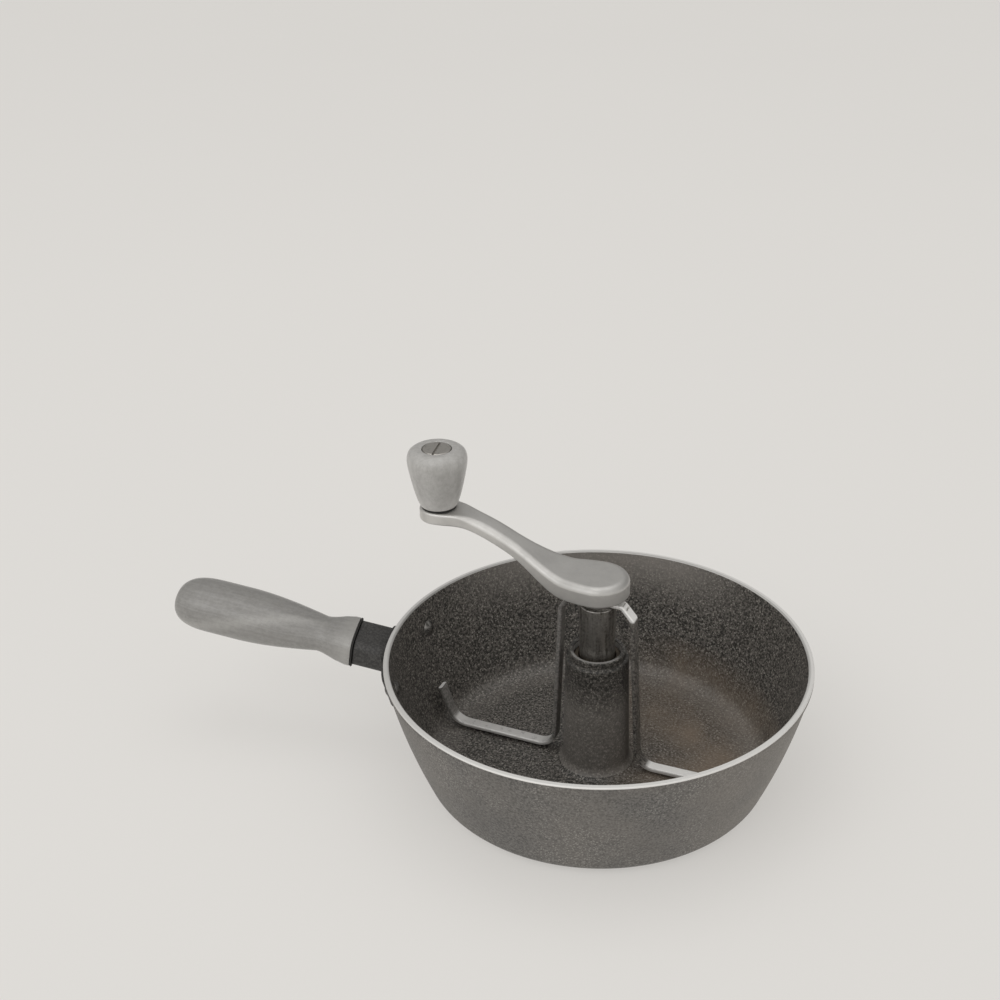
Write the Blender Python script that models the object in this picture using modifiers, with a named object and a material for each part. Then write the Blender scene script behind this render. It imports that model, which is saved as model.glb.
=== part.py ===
"""Stovetop nut roaster: a cast pan with a centre post, a riveted handle and a hand
cranked stirrer that lifts out.

Metres, +Z up. The origin is the middle of the pan's flat base, and the handle points
along -X. The crank, its stem and the stirrer hang from the empty crank_axis, which
stands on the pan's axis, and the knob from knob_axis, which stands on the knob's own.
"""
import math

import bmesh
import bpy
import numpy as np
from mathutils import Matrix, Vector

OBJECT_NAME = "stovetop_nut_roaster"

# Fits
GAP = 0.0003              # between pieces that touch
SLIP = 0.0003             # radial clearance round a turning or sliding shaft
OVERRUN = 0.0050          # how far a cutter runs past what it cuts
TINY = 0.00001            # merge distance of the modifiers

# Stem, its clip and the screw that ties it to the hub
STEM_RADIUS = 0.0100
STEM_SHOWN = 0.0300       # stem above the post's lip
STEM_STEP = 0.0020        # how much thinner its lower end is
STEM_LAND = 0.0022
STEM_ROUND = 0.0006
CLIP_REACH = 0.0012       # clip beyond the stem
CLIP_THICKNESS = 0.0010
CLIP_GROOVE_DEPTH = 0.0014
CLIP_MOUTH = 0.0060
TIE_RADIUS = 0.0020
TIE_HEAD_RADIUS = 0.0038
TIE_HEAD_HEIGHT = 0.0032
TIE_HEAD_SINK = 0.0015
LOCK_WASHER_THICKNESS = 0.0010
DOWEL_RADIUS = 0.0012
DOWEL_BITE = 0.0045
DRIVER_SLOT_WIDTH = 0.0011
DRIVER_SLOT_DEPTH = 0.0011

# Bush and thrust washer
BUSH_WALL = 0.0029
BUSH_SINK = 0.0030        # bush below the post's lip
BUSH_LENGTH = 0.0300
BUSH_ROUND = 0.0008
THRUST_THICKNESS = 0.0014
THRUST_BORE_RADIUS = 0.0030
THRUST_CLEARANCE = 0.0011

# Centre post, cast with the pan
POST_BORE_RADIUS = STEM_RADIUS + SLIP + BUSH_WALL + SLIP
POST_LIP_WALL = 0.0025
POST_LIP_DEPTH = 0.0040
POST_LIP_ROUND = 0.0007
POST_STEP = 0.0018        # shoulder under the lip
POST_DRAFT = 0.0014       # how much wider the post is at its foot
POST_FOOT_FILLET = 0.0070
LIP_RISE = 0.0040         # lip above the pan's rim
POST_BORE_FLOOR = 0.0080
LOWER_BORE_CLEARANCE = 0.0004
POST_LIP_RADIUS = POST_BORE_RADIUS + POST_LIP_WALL
POST_TOP_RADIUS = POST_LIP_RADIUS + POST_STEP
POST_FOOT_RADIUS = POST_TOP_RADIUS + POST_DRAFT
LOWER_BORE_RADIUS = STEM_RADIUS + CLIP_REACH + LOWER_BORE_CLEARANCE

# Pan
RIM_RADIUS = 0.1200
PAN_HEIGHT = 0.0750
RIM_WIDTH = 0.0032        # the bright machined edge
RIM_DEPTH = 0.0030
RIM_OVERHANG = 0.0008     # how far the rim bead stands out of the wall
RIM_ROUND = 0.0006
FLOOR_THICKNESS = 0.0040
BASE_RADIUS = 0.0874      # flat part of the base
BASE_FILLET = 0.0127
FLOOR_EXTRA = 0.0010      # flat of the floor beyond the flat of the base
FLOOR_FILLET = 0.0100
WALL_BULGE = 0.0015       # how far the wall bellies out of a straight cone

# Stirrer, one bent strip
STRIP_WIDTH = 0.0070
STRIP_THICKNESS = 0.0025
STRIP_EDGE = 0.0009
LEG_CLEARANCE = 0.0021    # between the post and the strip's legs at the top
FOOT_SPREAD = 0.0042      # how much further out the legs stand at the foot
SHOULDER_MARGIN = 0.0028  # level strip beyond the spacer
SHOULDER_FALL = 0.0076    # height of the sloping shoulder
SHOULDER_EASE = 0.0030    # bend above the slope
SHOULDER_BEND = 0.0034    # bend below it
FOOT_BEND = 0.0105
TIP_BEND = 0.0120
FOOT_LIFT = 0.0026        # strip's centre line above the floor at the foot
ARM_RISE = 0.0006         # how much the arm climbs on its way out
TIP_HEIGHT = 0.0226       # turned-up end above the arm
HEEL_CLEARANCE = 0.00494  # between the arm's outer end and the foot of the wall
TIP_CLEARANCE = 0.0059    # between the turned-up end and the wall
SLOT_INSET = 0.0048       # strip's slot from the leg's centre line
SLOT_LENGTH = 0.0046
SLOT_WIDTH = 0.0008
SLOT_PITCH = 0.0021       # two slots leave a narrow tab between them
SPACER_EXTRA = 0.0020     # spacer beyond the stem
SPACER_THICKNESS = 0.0035

# Crank arm
CRANK_ANGLE = 170.6       # degrees from +X at rest
CRANK_RADIUS = 0.0950
HUB_RADIUS = 0.0175
HUB_THICKNESS = 0.0113
HUB_WEB = 0.0032          # metal left over the tie screw
ARM_NECK_HALF = 0.0075
SEAT_RADIUS = 0.0110
SEAT_THICKNESS = 0.0068
SEAT_WEB = 0.0018         # metal left under the knob's screw
CRANK_RISE = 0.0243       # knob seat above the hub
RISE_START = 0.0155
RISE_END = 0.0100         # short of the knob's axis
RISE_HASTE = 0.86         # below 1 the climb is steeper on the hub's side
THIN_START = 0.0110       # where the arm starts to get thinner
TAPER_LENGTH = 0.0520
SEAT_FLARE = 0.0220
CRANK_SHOULDER = 0.0046   # how far the upper edge's rounding reaches in from the side
SHOULDER_DROP = 0.8       # its height as a share of that
SEAT_EDGE = 0.0018        # the same reach round the knob's seat
SHOULDER_END = 0.0670     # where the rounding starts to shrink towards the seat
CRANK_FOOT_EDGE = 0.0008  # rounding of the lower edge

# Knob
KNOB_HEIGHT = 0.0344
KNOB_RADIUS = 0.0168
KNOB_FOOT_RADIUS = 0.0104
KNOB_ROUND = 0.0006
KNOB_SEAT_THICKNESS = 0.0006
KNOB_SCREW_RADIUS = 0.0030
KNOB_HEAD_RADIUS = 0.0080
KNOB_HEAD_HEIGHT = 0.0026
KNOB_HEAD_CLEARANCE = 0.0004
KNOB_SLOT_WIDTH = 0.0013
KNOB_SLOT_DEPTH = 0.0012
KNOB_SLOT_ANGLE = 90.0    # degrees from +X at rest
SLEEVE_WALL = 0.0020
WAVE_WASHER_THICKNESS = 0.0008
WASHER_MARGIN = 0.0006

# Handle bracket and its rivets
FLANGE_HEIGHT = 0.0190
FLANGE_TIP_HEIGHT = 0.0137
FLANGE_DROP = 0.0050      # below the rim bead
FLANGE_THICKNESS = 0.0042
FLANGE_TIP_THICKNESS = 0.0012
FLANGE_HALF_LENGTH = 0.0405
FLANGE_EDGE = 0.0022
RIVET_HALF_PITCH = 0.0335
RIVET_RADIUS = 0.0022
RIVET_HEAD_RADIUS = 0.0046
RIVET_HEAD_HEIGHT = 0.0021
RIVET_POCKET_DEPTH = 0.0026
HANDLE_TILT = 8.6         # degrees above level
NECK_WIDTH = 0.0296
NECK_HEIGHT = 0.0166
NECK_LENGTH = 0.0259      # from the wall
NECK_RISE = 0.0025        # above the rivets
NECK_SQUARENESS = 4.0
SADDLE_SKIN = 0.0015      # saddle metal behind the neck's root
PLUG_WIDTH = 0.0180
PLUG_HEIGHT = 0.0090
PLUG_LENGTH = 0.0120
FRONT_SLANT = 0.11        # slope of the joint between neck and grip, seen from above

# Grip, its gasket and its bolt
GASKET_THICKNESS = 0.0008
GASKET_INSET = 0.0003
SOCKET_CLEARANCE = 0.0004
COLLAR_MARGIN = 0.0016    # grip beyond the neck at its front
GRIP_LENGTH = 0.1090
GRIP_EDGE = 0.0005
GRIP_COLLAR = 0.0020
GRIP_WAIST_AT = 0.0203
GRIP_WAIST_WIDTH = 0.0249
GRIP_WAIST_HEIGHT = 0.0177
GRIP_SWELL_AT = 0.0700
GRIP_SWELL_WIDTH = 0.0352
GRIP_SWELL_HEIGHT = 0.0282
GRIP_NOSE = 0.0245        # length of the rounded end
NOSE_BLUNTNESS = 0.92
BOLT_RADIUS = 0.0025
BOLT_BITE = 0.0200
BOLT_HEAD_RADIUS = 0.0042
BOLT_HEAD_HEIGHT = 0.0032
BOLT_RECESS = 0.0100
BOLT_WASHER_THICKNESS = 0.0010

# Smoothness
PAN_STEPS = 48
ROUND_STEPS = 32
SMALL_STEPS = 20
OVAL_POINTS = 24

# Heights that follow from the sizes above
LIP_Z = PAN_HEIGHT + LIP_RISE
BUSH_TOP_Z = LIP_Z - BUSH_SINK
BUSH_FOOT_Z = BUSH_TOP_Z - BUSH_LENGTH
STEP_Z = BUSH_FOOT_Z - GAP
THRUST_TOP_Z = POST_BORE_FLOOR + GAP + THRUST_THICKNESS
STEM_FOOT_Z = THRUST_TOP_Z + GAP
STEM_TOP_Z = LIP_Z + STEM_SHOWN
STRIP_Z = STEM_TOP_Z + GAP + STRIP_THICKNESS / 2
SPACER_FOOT_Z = STRIP_Z + STRIP_THICKNESS / 2 + GAP
HUB_FOOT_Z = SPACER_FOOT_Z + SPACER_THICKNESS + GAP
HUB_TOP_Z = HUB_FOOT_Z + HUB_THICKNESS
SEAT_Z = HUB_TOP_Z + CRANK_RISE
FLANGE_TOP_Z = PAN_HEIGHT - RIM_DEPTH - FLANGE_DROP
RIVET_Z = FLANGE_TOP_Z - FLANGE_HEIGHT / 2
NECK_Z = RIVET_Z + NECK_RISE

for old in list(bpy.data.objects):
    bpy.data.objects.remove(old, do_unlink=True)

parts = bpy.data.collections.new(OBJECT_NAME)
cutters = bpy.data.collections.new("cutters")
for collection in (parts, cutters):
    bpy.context.scene.collection.children.link(collection)


def surface(name, colour, roughness, metallic):
    """A plain Principled material."""
    material = bpy.data.materials.new(name)
    material.use_nodes = True
    shader = material.node_tree.nodes["Principled BSDF"]
    shader.inputs["Base Color"].default_value = (*colour, 1.0)
    shader.inputs["Roughness"].default_value = roughness
    shader.inputs["Metallic"].default_value = metallic
    return material


PAN_METAL = surface("pan metal", (0.16, 0.16, 0.16), 0.5, 0.3)
DARK_METAL = surface("bracket enamel", (0.05, 0.05, 0.05), 0.55, 0.2)
ALUMINIUM = surface("rivet aluminium", (0.45, 0.45, 0.44), 0.4, 0.9)
CAST_ALUMINIUM = surface("cast aluminium", (0.48, 0.48, 0.47), 0.4, 0.8)
GRIP_WOOD = surface("grip wood", (0.42, 0.40, 0.37), 0.6, 0.0)
KNOB_WOOD = surface("knob wood", (0.45, 0.43, 0.40), 0.6, 0.0)
FIBRE = surface("black fibre", (0.03, 0.03, 0.03), 0.8, 0.0)
ZINC = surface("zinc plated steel", (0.55, 0.55, 0.54), 0.35, 1.0)
BRONZE = surface("oiled bronze", (0.30, 0.22, 0.13), 0.45, 0.9)
STEM_STEEL = surface("stem steel", (0.30, 0.30, 0.30), 0.35, 1.0)
SPRING_STEEL = surface("spring steel", (0.12, 0.12, 0.13), 0.4, 1.0)
STAINLESS = surface("stirrer stainless", (0.62, 0.62, 0.60), 0.25, 1.0)


def new_object(name, mesh, material=None, parent=None):
    """Links a mesh as a part where it has a material, and as a cutter where it has none."""
    obj = bpy.data.objects.new(name, mesh)
    if material:
        parts.objects.link(obj)
        mesh.materials.append(material)
    else:
        cutters.objects.link(obj)
        obj.hide_render = True
        obj.display_type = "WIRE"
    obj.parent = parent
    return obj


def new_empty(name, location, rotation=(0, 0, 0), parent=None):
    """An empty that stands on an axis."""
    empty = bpy.data.objects.new(name, None)
    empty.empty_display_size = 0.02
    empty.location = location
    empty.rotation_euler = rotation
    empty.parent = parent
    parts.objects.link(empty)
    return empty


def arc(centre_x, centre_z, radius, start, end, count):
    """Points of an arc in a turned profile, angles in degrees."""
    angles = np.radians(np.linspace(start, end, count))
    return [(centre_x + radius * math.cos(a), centre_z + radius * math.sin(a)) for a in angles]


def turned(name, profile, steps, material, parent=None, closed=False):
    """A profile of (radius, z) points turned round Z with a Screw modifier."""
    mesh = bpy.data.meshes.new(name)
    count = len(profile)
    edges = [(i, i + 1) for i in range(count - 1)]
    if closed:
        edges.append((count - 1, 0))
    mesh.from_pydata([(radius, 0, z) for radius, z in profile], edges, [])
    obj = new_object(name, mesh, material, parent)
    screw = obj.modifiers.new("turn", "SCREW")
    screw.steps = steps
    screw.render_steps = steps
    screw.use_merge_vertices = True
    screw.merge_threshold = TINY
    screw.use_smooth_shade = True
    return obj


def loft(name, rings, material=None, parent=None, cap_start=True):
    """Quads between rings of equal length, with the ends capped."""
    shape = bmesh.new()
    loops = [[shape.verts.new(point) for point in ring] for ring in rings]
    size = len(loops[0])
    for lower, upper in zip(loops, loops[1:]):
        for i in range(size):
            j = (i + 1) % size
            shape.faces.new((lower[i], lower[j], upper[j], upper[i]))
    if cap_start:
        shape.faces.new(list(reversed(loops[0])))
    shape.faces.new(loops[-1])
    bmesh.ops.recalc_face_normals(shape, faces=shape.faces)
    mesh = bpy.data.meshes.new(name)
    shape.to_mesh(mesh)
    shape.free()
    return new_object(name, mesh, material, parent)


def rod(name, radius, low, high, parent=None, offset=0.0, material=None):
    """A plain cylinder along Z between two heights."""
    shape = bmesh.new()
    bmesh.ops.create_cone(shape, cap_ends=True, segments=SMALL_STEPS, radius1=radius,
                          radius2=radius, depth=high - low)
    bmesh.ops.translate(shape, verts=shape.verts, vec=(offset, 0, (low + high) / 2))
    mesh = bpy.data.meshes.new(name)
    shape.to_mesh(mesh)
    shape.free()
    return new_object(name, mesh, material, parent)


def block(name, size, centre, parent=None, turn=0.0):
    """A box cutter, turned about Z by some degrees."""
    shape = bmesh.new()
    bmesh.ops.create_cube(shape, size=1.0)
    bmesh.ops.scale(shape, verts=shape.verts, vec=size)
    bmesh.ops.rotate(shape, verts=shape.verts, matrix=Matrix.Rotation(math.radians(turn), 3, "Z"))
    bmesh.ops.translate(shape, verts=shape.verts, vec=centre)
    mesh = bpy.data.meshes.new(name)
    shape.to_mesh(mesh)
    shape.free()
    return new_object(name, mesh, None, parent)


def combine(obj, other, operation="DIFFERENCE"):
    """Adds an exact Boolean modifier."""
    cut = obj.modifiers.new(other.name, "BOOLEAN")
    cut.operation = operation
    cut.solver = "EXACT"
    cut.object = other


def smooth_step(value):
    """0 to 1 with level ends."""
    value = min(max(value, 0.0), 1.0)
    return value * value * (3 - 2 * value)


def washer_profile(inner, outer, low, high):
    """A flat ring's section, running down its outer side."""
    return [(inner, high), (outer, high), (outer, low), (inner, low)]


# Pan: one turned section makes the wall, the floor and the centre post
def wall_profile(top_radius, top_z, flat_radius, bottom_z, fillet):
    """A bellied wall from its top down to the edge of the flat, as (radius, z)."""
    centre_z = bottom_z + fillet
    reach = math.hypot(top_radius - flat_radius, top_z - centre_z)
    tangent = math.atan2(top_z - centre_z, top_radius - flat_radius) - math.acos(fillet / reach)
    run_x = flat_radius + fillet * math.cos(tangent) - top_radius
    run_z = centre_z + fillet * math.sin(tangent) - top_z
    length = math.hypot(run_x, run_z)
    wall = []
    for t in np.linspace(0, 1, 8, endpoint=False):
        belly = 4 * WALL_BULGE * t * (1 - t)
        wall.append((top_radius + run_x * t - run_z / length * belly,
                     top_z + run_z * t + run_x / length * belly))
    return wall + arc(flat_radius, centre_z, fillet, math.degrees(tangent), -90, 7)


outer_wall = wall_profile(RIM_RADIUS - RIM_OVERHANG, PAN_HEIGHT - RIM_DEPTH, BASE_RADIUS, 0.0,
                          BASE_FILLET)
inner_wall = wall_profile(RIM_RADIUS - RIM_WIDTH, PAN_HEIGHT - RIM_ROUND, BASE_RADIUS + FLOOR_EXTRA,
                          FLOOR_THICKNESS, FLOOR_FILLET)


def radius_at(profile, z):
    """Radius of a falling wall profile at a height."""
    heights = [point[1] for point in reversed(profile)]
    radii = [point[0] for point in reversed(profile)]
    return float(np.interp(z, heights, radii))


def make_pan():
    """Bore, post, floor, wall, rim and base in one section."""
    shoulder_z = LIP_Z - POST_LIP_DEPTH
    bore = [(0, POST_BORE_FLOOR), (LOWER_BORE_RADIUS, POST_BORE_FLOOR), (LOWER_BORE_RADIUS, STEP_Z),
            (POST_BORE_RADIUS, STEP_Z), (POST_BORE_RADIUS, LIP_Z - POST_LIP_ROUND),
            (POST_BORE_RADIUS + POST_LIP_ROUND, LIP_Z)]
    lip = arc(POST_LIP_RADIUS - POST_LIP_ROUND, LIP_Z - POST_LIP_ROUND, POST_LIP_ROUND, 90, 0, 3)
    shoulder = [(POST_LIP_RADIUS, shoulder_z)]
    shoulder += arc(POST_LIP_RADIUS, shoulder_z - POST_STEP, POST_STEP, 80, 0, 4)
    foot = arc(POST_FOOT_RADIUS + POST_FOOT_FILLET, FLOOR_THICKNESS + POST_FOOT_FILLET,
               POST_FOOT_FILLET, 180, 270, 6)
    rim = [(RIM_RADIUS - RIM_WIDTH + RIM_ROUND, PAN_HEIGHT)]
    rim += arc(RIM_RADIUS - RIM_ROUND, PAN_HEIGHT - RIM_ROUND, RIM_ROUND, 90, 0, 3)
    rim += [(RIM_RADIUS, PAN_HEIGHT - RIM_DEPTH + RIM_OVERHANG)]
    inside = list(reversed(inner_wall))
    profile = bore + lip + shoulder + foot + inside + rim + outer_wall + [(0, 0)]
    return turned("pan_body", profile, PAN_STEPS, PAN_METAL)


pan = make_pan()

# Handle bracket: a saddle against the wall, a neck, and a plug that enters the grip
rivet_wall_radius = radius_at(outer_wall, RIVET_Z)
rivet_angle = RIVET_HALF_PITCH / rivet_wall_radius
flange_angle = FLANGE_HALF_LENGTH / rivet_wall_radius
lean_slope = (radius_at(outer_wall, RIVET_Z + GAP) - radius_at(outer_wall, RIVET_Z - GAP)) / (2 * GAP)
lean = math.atan(lean_slope)


def flange_ring(share):
    """A section of the saddle at a share (-1 to 1) of its half length."""
    angle = math.pi + share * flange_angle
    fullness = math.sqrt(1 - abs(share) ** 4)
    thickness = FLANGE_TIP_THICKNESS + (FLANGE_THICKNESS - FLANGE_TIP_THICKNESS) * fullness
    half = (FLANGE_TIP_HEIGHT + (FLANGE_HEIGHT - FLANGE_TIP_HEIGHT) * fullness) / 2
    edge = min(FLANGE_EDGE, thickness * 0.45)
    section = [(0, z) for z in np.linspace(RIVET_Z - half, RIVET_Z + half, 5)]
    section += [(thickness - edge, RIVET_Z + half), (thickness, RIVET_Z + half - edge),
                (thickness, RIVET_Z - half + edge), (thickness - edge, RIVET_Z - half)]
    ring = []
    for out, z in section:
        radius = radius_at(outer_wall, z) + GAP + out
        ring.append((radius * math.cos(angle), radius * math.sin(angle), z))
    return ring


def oval_ring(along, half_width, half_height, squareness, slant=0.0, rake=0.0):
    """A superellipse across the handle's axis, slanted in plan or raked in side view."""
    ring = []
    for a in np.linspace(0, 2 * math.pi, OVAL_POINTS, endpoint=False):
        y = half_width * math.copysign(abs(math.cos(a)) ** (2 / squareness), math.cos(a))
        z = half_height * math.copysign(abs(math.sin(a)) ** (2 / squareness), math.sin(a))
        ring.append((along - slant * y + rake * z, y, z))
    return ring


def plug_rings(low, high, clearance):
    """The plug's two ends, or its socket's."""
    return [oval_ring(along, PLUG_WIDTH / 2 + clearance, PLUG_HEIGHT / 2 + clearance, NECK_SQUARENESS)
            for along in (low, high)]


handle_axis = new_empty("handle_axis", (-radius_at(outer_wall, NECK_Z), 0, NECK_Z),
                        (0, math.radians(-HANDLE_TILT), math.pi))
bracket = loft("handle_bracket", [flange_ring(share) for share in np.linspace(-1, 1, 17)], DARK_METAL)
root_rake = math.tan(math.radians(HANDLE_TILT) + lean)
neck_root = oval_ring(GAP + SADDLE_SKIN, NECK_WIDTH / 2, NECK_HEIGHT / 2, NECK_SQUARENESS, rake=root_rake)
neck_front = oval_ring(NECK_LENGTH, NECK_WIDTH / 2, NECK_HEIGHT / 2, NECK_SQUARENESS, slant=FRONT_SLANT)
combine(bracket, loft("bracket_neck", [neck_root, neck_front], parent=handle_axis), "UNION")
plug_end = NECK_LENGTH + PLUG_LENGTH
combine(bracket, loft("bracket_plug", plug_rings(NECK_LENGTH - OVERRUN, plug_end, 0), parent=handle_axis),
        "UNION")

# Rivets, square to the wall, through the saddle and the wall
wall_depth = (rivet_wall_radius - radius_at(inner_wall, RIVET_Z)) * math.cos(lean)
facet_depth = rivet_wall_radius * (1 - math.cos(math.pi / PAN_STEPS))
pocket_floor = (GAP + FLANGE_THICKNESS) * math.cos(lean) - RIVET_POCKET_DEPTH


def dome(outward):
    """A rivet head's section above (or below) its flat side at z = 0."""
    radius = (RIVET_HEAD_RADIUS ** 2 + RIVET_HEAD_HEIGHT ** 2) / (2 * RIVET_HEAD_HEIGHT)
    edge = math.degrees(math.asin(RIVET_HEAD_RADIUS / radius))
    points = arc(0, RIVET_HEAD_HEIGHT - radius, radius, 90, 90 - edge, 5)
    return [(x, z * outward) for x, z in points]


for label, side in (("front", 1), ("rear", -1)):
    angle = math.pi + side * rivet_angle
    place = (rivet_wall_radius * math.cos(angle), rivet_wall_radius * math.sin(angle), RIVET_Z)
    rivet_axis = new_empty("rivet_axis_" + label, place, (0, math.pi / 2 + lean, angle))
    head_out = pocket_floor + GAP
    head_in = -wall_depth - facet_depth - GAP
    profile = [(x, z + head_out) for x, z in dome(1)]
    profile += [(RIVET_RADIUS, head_out), (RIVET_RADIUS, head_in)]
    profile += [(x, z + head_in) for x, z in reversed(dome(-1))]
    turned("bracket_rivet_" + label, profile, SMALL_STEPS, ALUMINIUM, rivet_axis)
    hole = rod("rivet_hole_" + label, RIVET_RADIUS + GAP, head_in - OVERRUN, pocket_floor + OVERRUN,
               rivet_axis)
    pocket = rod("rivet_pocket_" + label, RIVET_HEAD_RADIUS + WASHER_MARGIN, pocket_floor,
                 pocket_floor + RIVET_POCKET_DEPTH + OVERRUN, rivet_axis)
    combine(pan, hole)
    combine(bracket, hole)
    combine(bracket, pocket)

# Gasket between neck and grip
collar_half_width = NECK_WIDTH / 2 + COLLAR_MARGIN
collar_half_height = NECK_HEIGHT / 2 + COLLAR_MARGIN
gasket_rings = [oval_ring(along, collar_half_width - GASKET_INSET, collar_half_height - GASKET_INSET,
                          NECK_SQUARENESS, slant=FRONT_SLANT)
                for along in (NECK_LENGTH + GAP, NECK_LENGTH + GAP + GASKET_THICKNESS)]
gasket = loft("grip_gasket", gasket_rings, FIBRE, handle_axis)
grip_front = NECK_LENGTH + GAP + GASKET_THICKNESS + GAP
grip_end = grip_front + GRIP_LENGTH
socket = loft("grip_socket", plug_rings(NECK_LENGTH - OVERRUN, plug_end + GAP, SOCKET_CLEARANCE),
              parent=handle_axis)
combine(gasket, socket)


def grip_ring(x):
    """The grip's section at a distance behind its front: collar, waist, swell, round end."""
    to_waist = smooth_step((x - GRIP_COLLAR) / (GRIP_WAIST_AT - GRIP_COLLAR))
    past_waist = (x - GRIP_WAIST_AT) / (GRIP_SWELL_AT - GRIP_WAIST_AT)
    to_swell = math.sin(math.pi / 2 * min(max(past_waist, 0.0), 1.0))
    into_nose = max(0.0, 1 - (GRIP_LENGTH - x) / GRIP_NOSE)
    nose = (1 - (NOSE_BLUNTNESS * into_nose) ** 3) ** 0.4
    halves = []
    for collar, waist, swell in ((collar_half_width, GRIP_WAIST_WIDTH / 2, GRIP_SWELL_WIDTH / 2),
                                 (collar_half_height, GRIP_WAIST_HEIGHT / 2, GRIP_SWELL_HEIGHT / 2)):
        half = collar + (waist - collar) * to_waist + (swell - waist) * to_swell
        halves.append(half * nose - (GRIP_EDGE if x == 0 else 0))
    squareness = 3.4 - 1.2 * to_waist
    return oval_ring(grip_front + x, halves[0], halves[1], squareness, slant=FRONT_SLANT * (1 - to_waist))


grip_places = [0, 2 * GRIP_EDGE]
grip_places += list(np.linspace(GRIP_COLLAR, GRIP_LENGTH - GRIP_NOSE, 12))
grip_places += list(GRIP_LENGTH - GRIP_NOSE * (1 - np.sin(np.linspace(0, math.pi / 2, 6)[1:])))
grip = loft("handle_grip", [grip_ring(x) for x in grip_places], GRIP_WOOD, handle_axis)
combine(grip, socket)

# Bolt through the grip, from its recessed end into the bracket's plug
bolt_axis = new_empty("bolt_axis", (0, 0, 0), (0, math.pi / 2, 0), handle_axis)
bolt_seat = grip_end - BOLT_RECESS
bolt_foot = plug_end - BOLT_BITE
bolt_hole = BOLT_RADIUS + GAP
combine(grip, rod("grip_bore", bolt_hole, NECK_LENGTH, grip_end, bolt_axis))
combine(grip, rod("grip_recess", BOLT_HEAD_RADIUS + 2 * WASHER_MARGIN, bolt_seat, grip_end + OVERRUN,
                  bolt_axis))
combine(bracket, rod("bolt_thread", bolt_hole, bolt_foot - GAP, plug_end + OVERRUN, bolt_axis))
washer_foot = bolt_seat + GAP
bolt_head_foot = washer_foot + BOLT_WASHER_THICKNESS + GAP
bolt_head_top = bolt_head_foot + BOLT_HEAD_HEIGHT
turned("handle_bolt_washer",
       washer_profile(bolt_hole, BOLT_HEAD_RADIUS + WASHER_MARGIN, washer_foot,
                      washer_foot + BOLT_WASHER_THICKNESS),
       SMALL_STEPS, ZINC, bolt_axis, closed=True)
bolt = turned("handle_bolt",
              [(0, bolt_head_top), (BOLT_HEAD_RADIUS, bolt_head_top), (BOLT_HEAD_RADIUS, bolt_head_foot),
               (BOLT_RADIUS, bolt_head_foot), (BOLT_RADIUS, bolt_foot), (0, bolt_foot)],
              SMALL_STEPS, ZINC, bolt_axis)
combine(bolt, block("bolt_slot", (DRIVER_SLOT_WIDTH, 4 * BOLT_HEAD_RADIUS, 2 * DRIVER_SLOT_DEPTH),
                    (0, 0, bolt_head_top), bolt_axis))

# Bearing: the thrust washer stays in the post, the bush lifts out with the stem
turned("thrust_washer",
       washer_profile(THRUST_BORE_RADIUS, LOWER_BORE_RADIUS - THRUST_CLEARANCE, POST_BORE_FLOOR + GAP,
                      THRUST_TOP_Z),
       ROUND_STEPS, BRONZE, closed=True)
bush_outer = POST_BORE_RADIUS - SLIP
bush_inner = STEM_RADIUS + SLIP
turned("bearing_bush",
       [(bush_inner + BUSH_ROUND, BUSH_TOP_Z), (bush_outer - BUSH_ROUND, BUSH_TOP_Z),
        (bush_outer, BUSH_TOP_Z - BUSH_ROUND), (bush_outer, BUSH_FOOT_Z + BUSH_ROUND),
        (bush_outer - BUSH_ROUND, BUSH_FOOT_Z), (bush_inner, BUSH_FOOT_Z),
        (bush_inner, BUSH_TOP_Z - BUSH_ROUND)],
       ROUND_STEPS, BRONZE, closed=True)

# Stem: turned, grooved for its clip, bored for the tie screw
crank_axis = new_empty("crank_axis", (0, 0, 0), (0, 0, math.radians(CRANK_ANGLE)))
groove_foot = STEP_Z - CLIP_THICKNESS - 2 * GAP
groove_radius = STEM_RADIUS - CLIP_GROOVE_DEPTH
land_foot = groove_foot - STEM_LAND
stem_foot_radius = STEM_RADIUS - STEM_STEP
tie_hole = TIE_RADIUS + GAP
tie_head_foot = STEM_FOOT_Z + TIE_HEAD_SINK
tie_head_top = tie_head_foot + TIE_HEAD_HEIGHT
lock_foot = tie_head_top + GAP
tie_seat = lock_foot + LOCK_WASHER_THICKNESS + GAP
counterbore = TIE_HEAD_RADIUS + GAP
stem = turned("drive_stem",
              [(tie_hole, STEM_TOP_Z), (STEM_RADIUS - STEM_ROUND, STEM_TOP_Z),
               (STEM_RADIUS, STEM_TOP_Z - STEM_ROUND), (STEM_RADIUS, STEP_Z), (groove_radius, STEP_Z),
               (groove_radius, groove_foot), (STEM_RADIUS, groove_foot), (STEM_RADIUS, land_foot),
               (stem_foot_radius, land_foot - STEM_STEP), (stem_foot_radius, STEM_FOOT_Z + STEM_ROUND),
               (stem_foot_radius - STEM_ROUND, STEM_FOOT_Z), (counterbore, STEM_FOOT_Z),
               (counterbore, tie_seat), (tie_hole, tie_seat)],
              ROUND_STEPS, STEM_STEEL, crank_axis, closed=True)
clip_radius = STEM_RADIUS + CLIP_REACH
clip = turned("retaining_clip",
              washer_profile(groove_radius + GAP, clip_radius, groove_foot + GAP,
                             groove_foot + GAP + CLIP_THICKNESS),
              ROUND_STEPS, SPRING_STEEL, crank_axis, closed=True)
combine(clip, block("clip_mouth", (clip_radius, CLIP_MOUTH, OVERRUN), (-clip_radius, 0, groove_foot),
                    crank_axis))
turned("stem_lock_washer",
       washer_profile(tie_hole, TIE_HEAD_RADIUS, lock_foot, lock_foot + LOCK_WASHER_THICKNESS),
       SMALL_STEPS, ZINC, crank_axis, closed=True)
tie_top = HUB_TOP_Z - HUB_WEB
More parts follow.
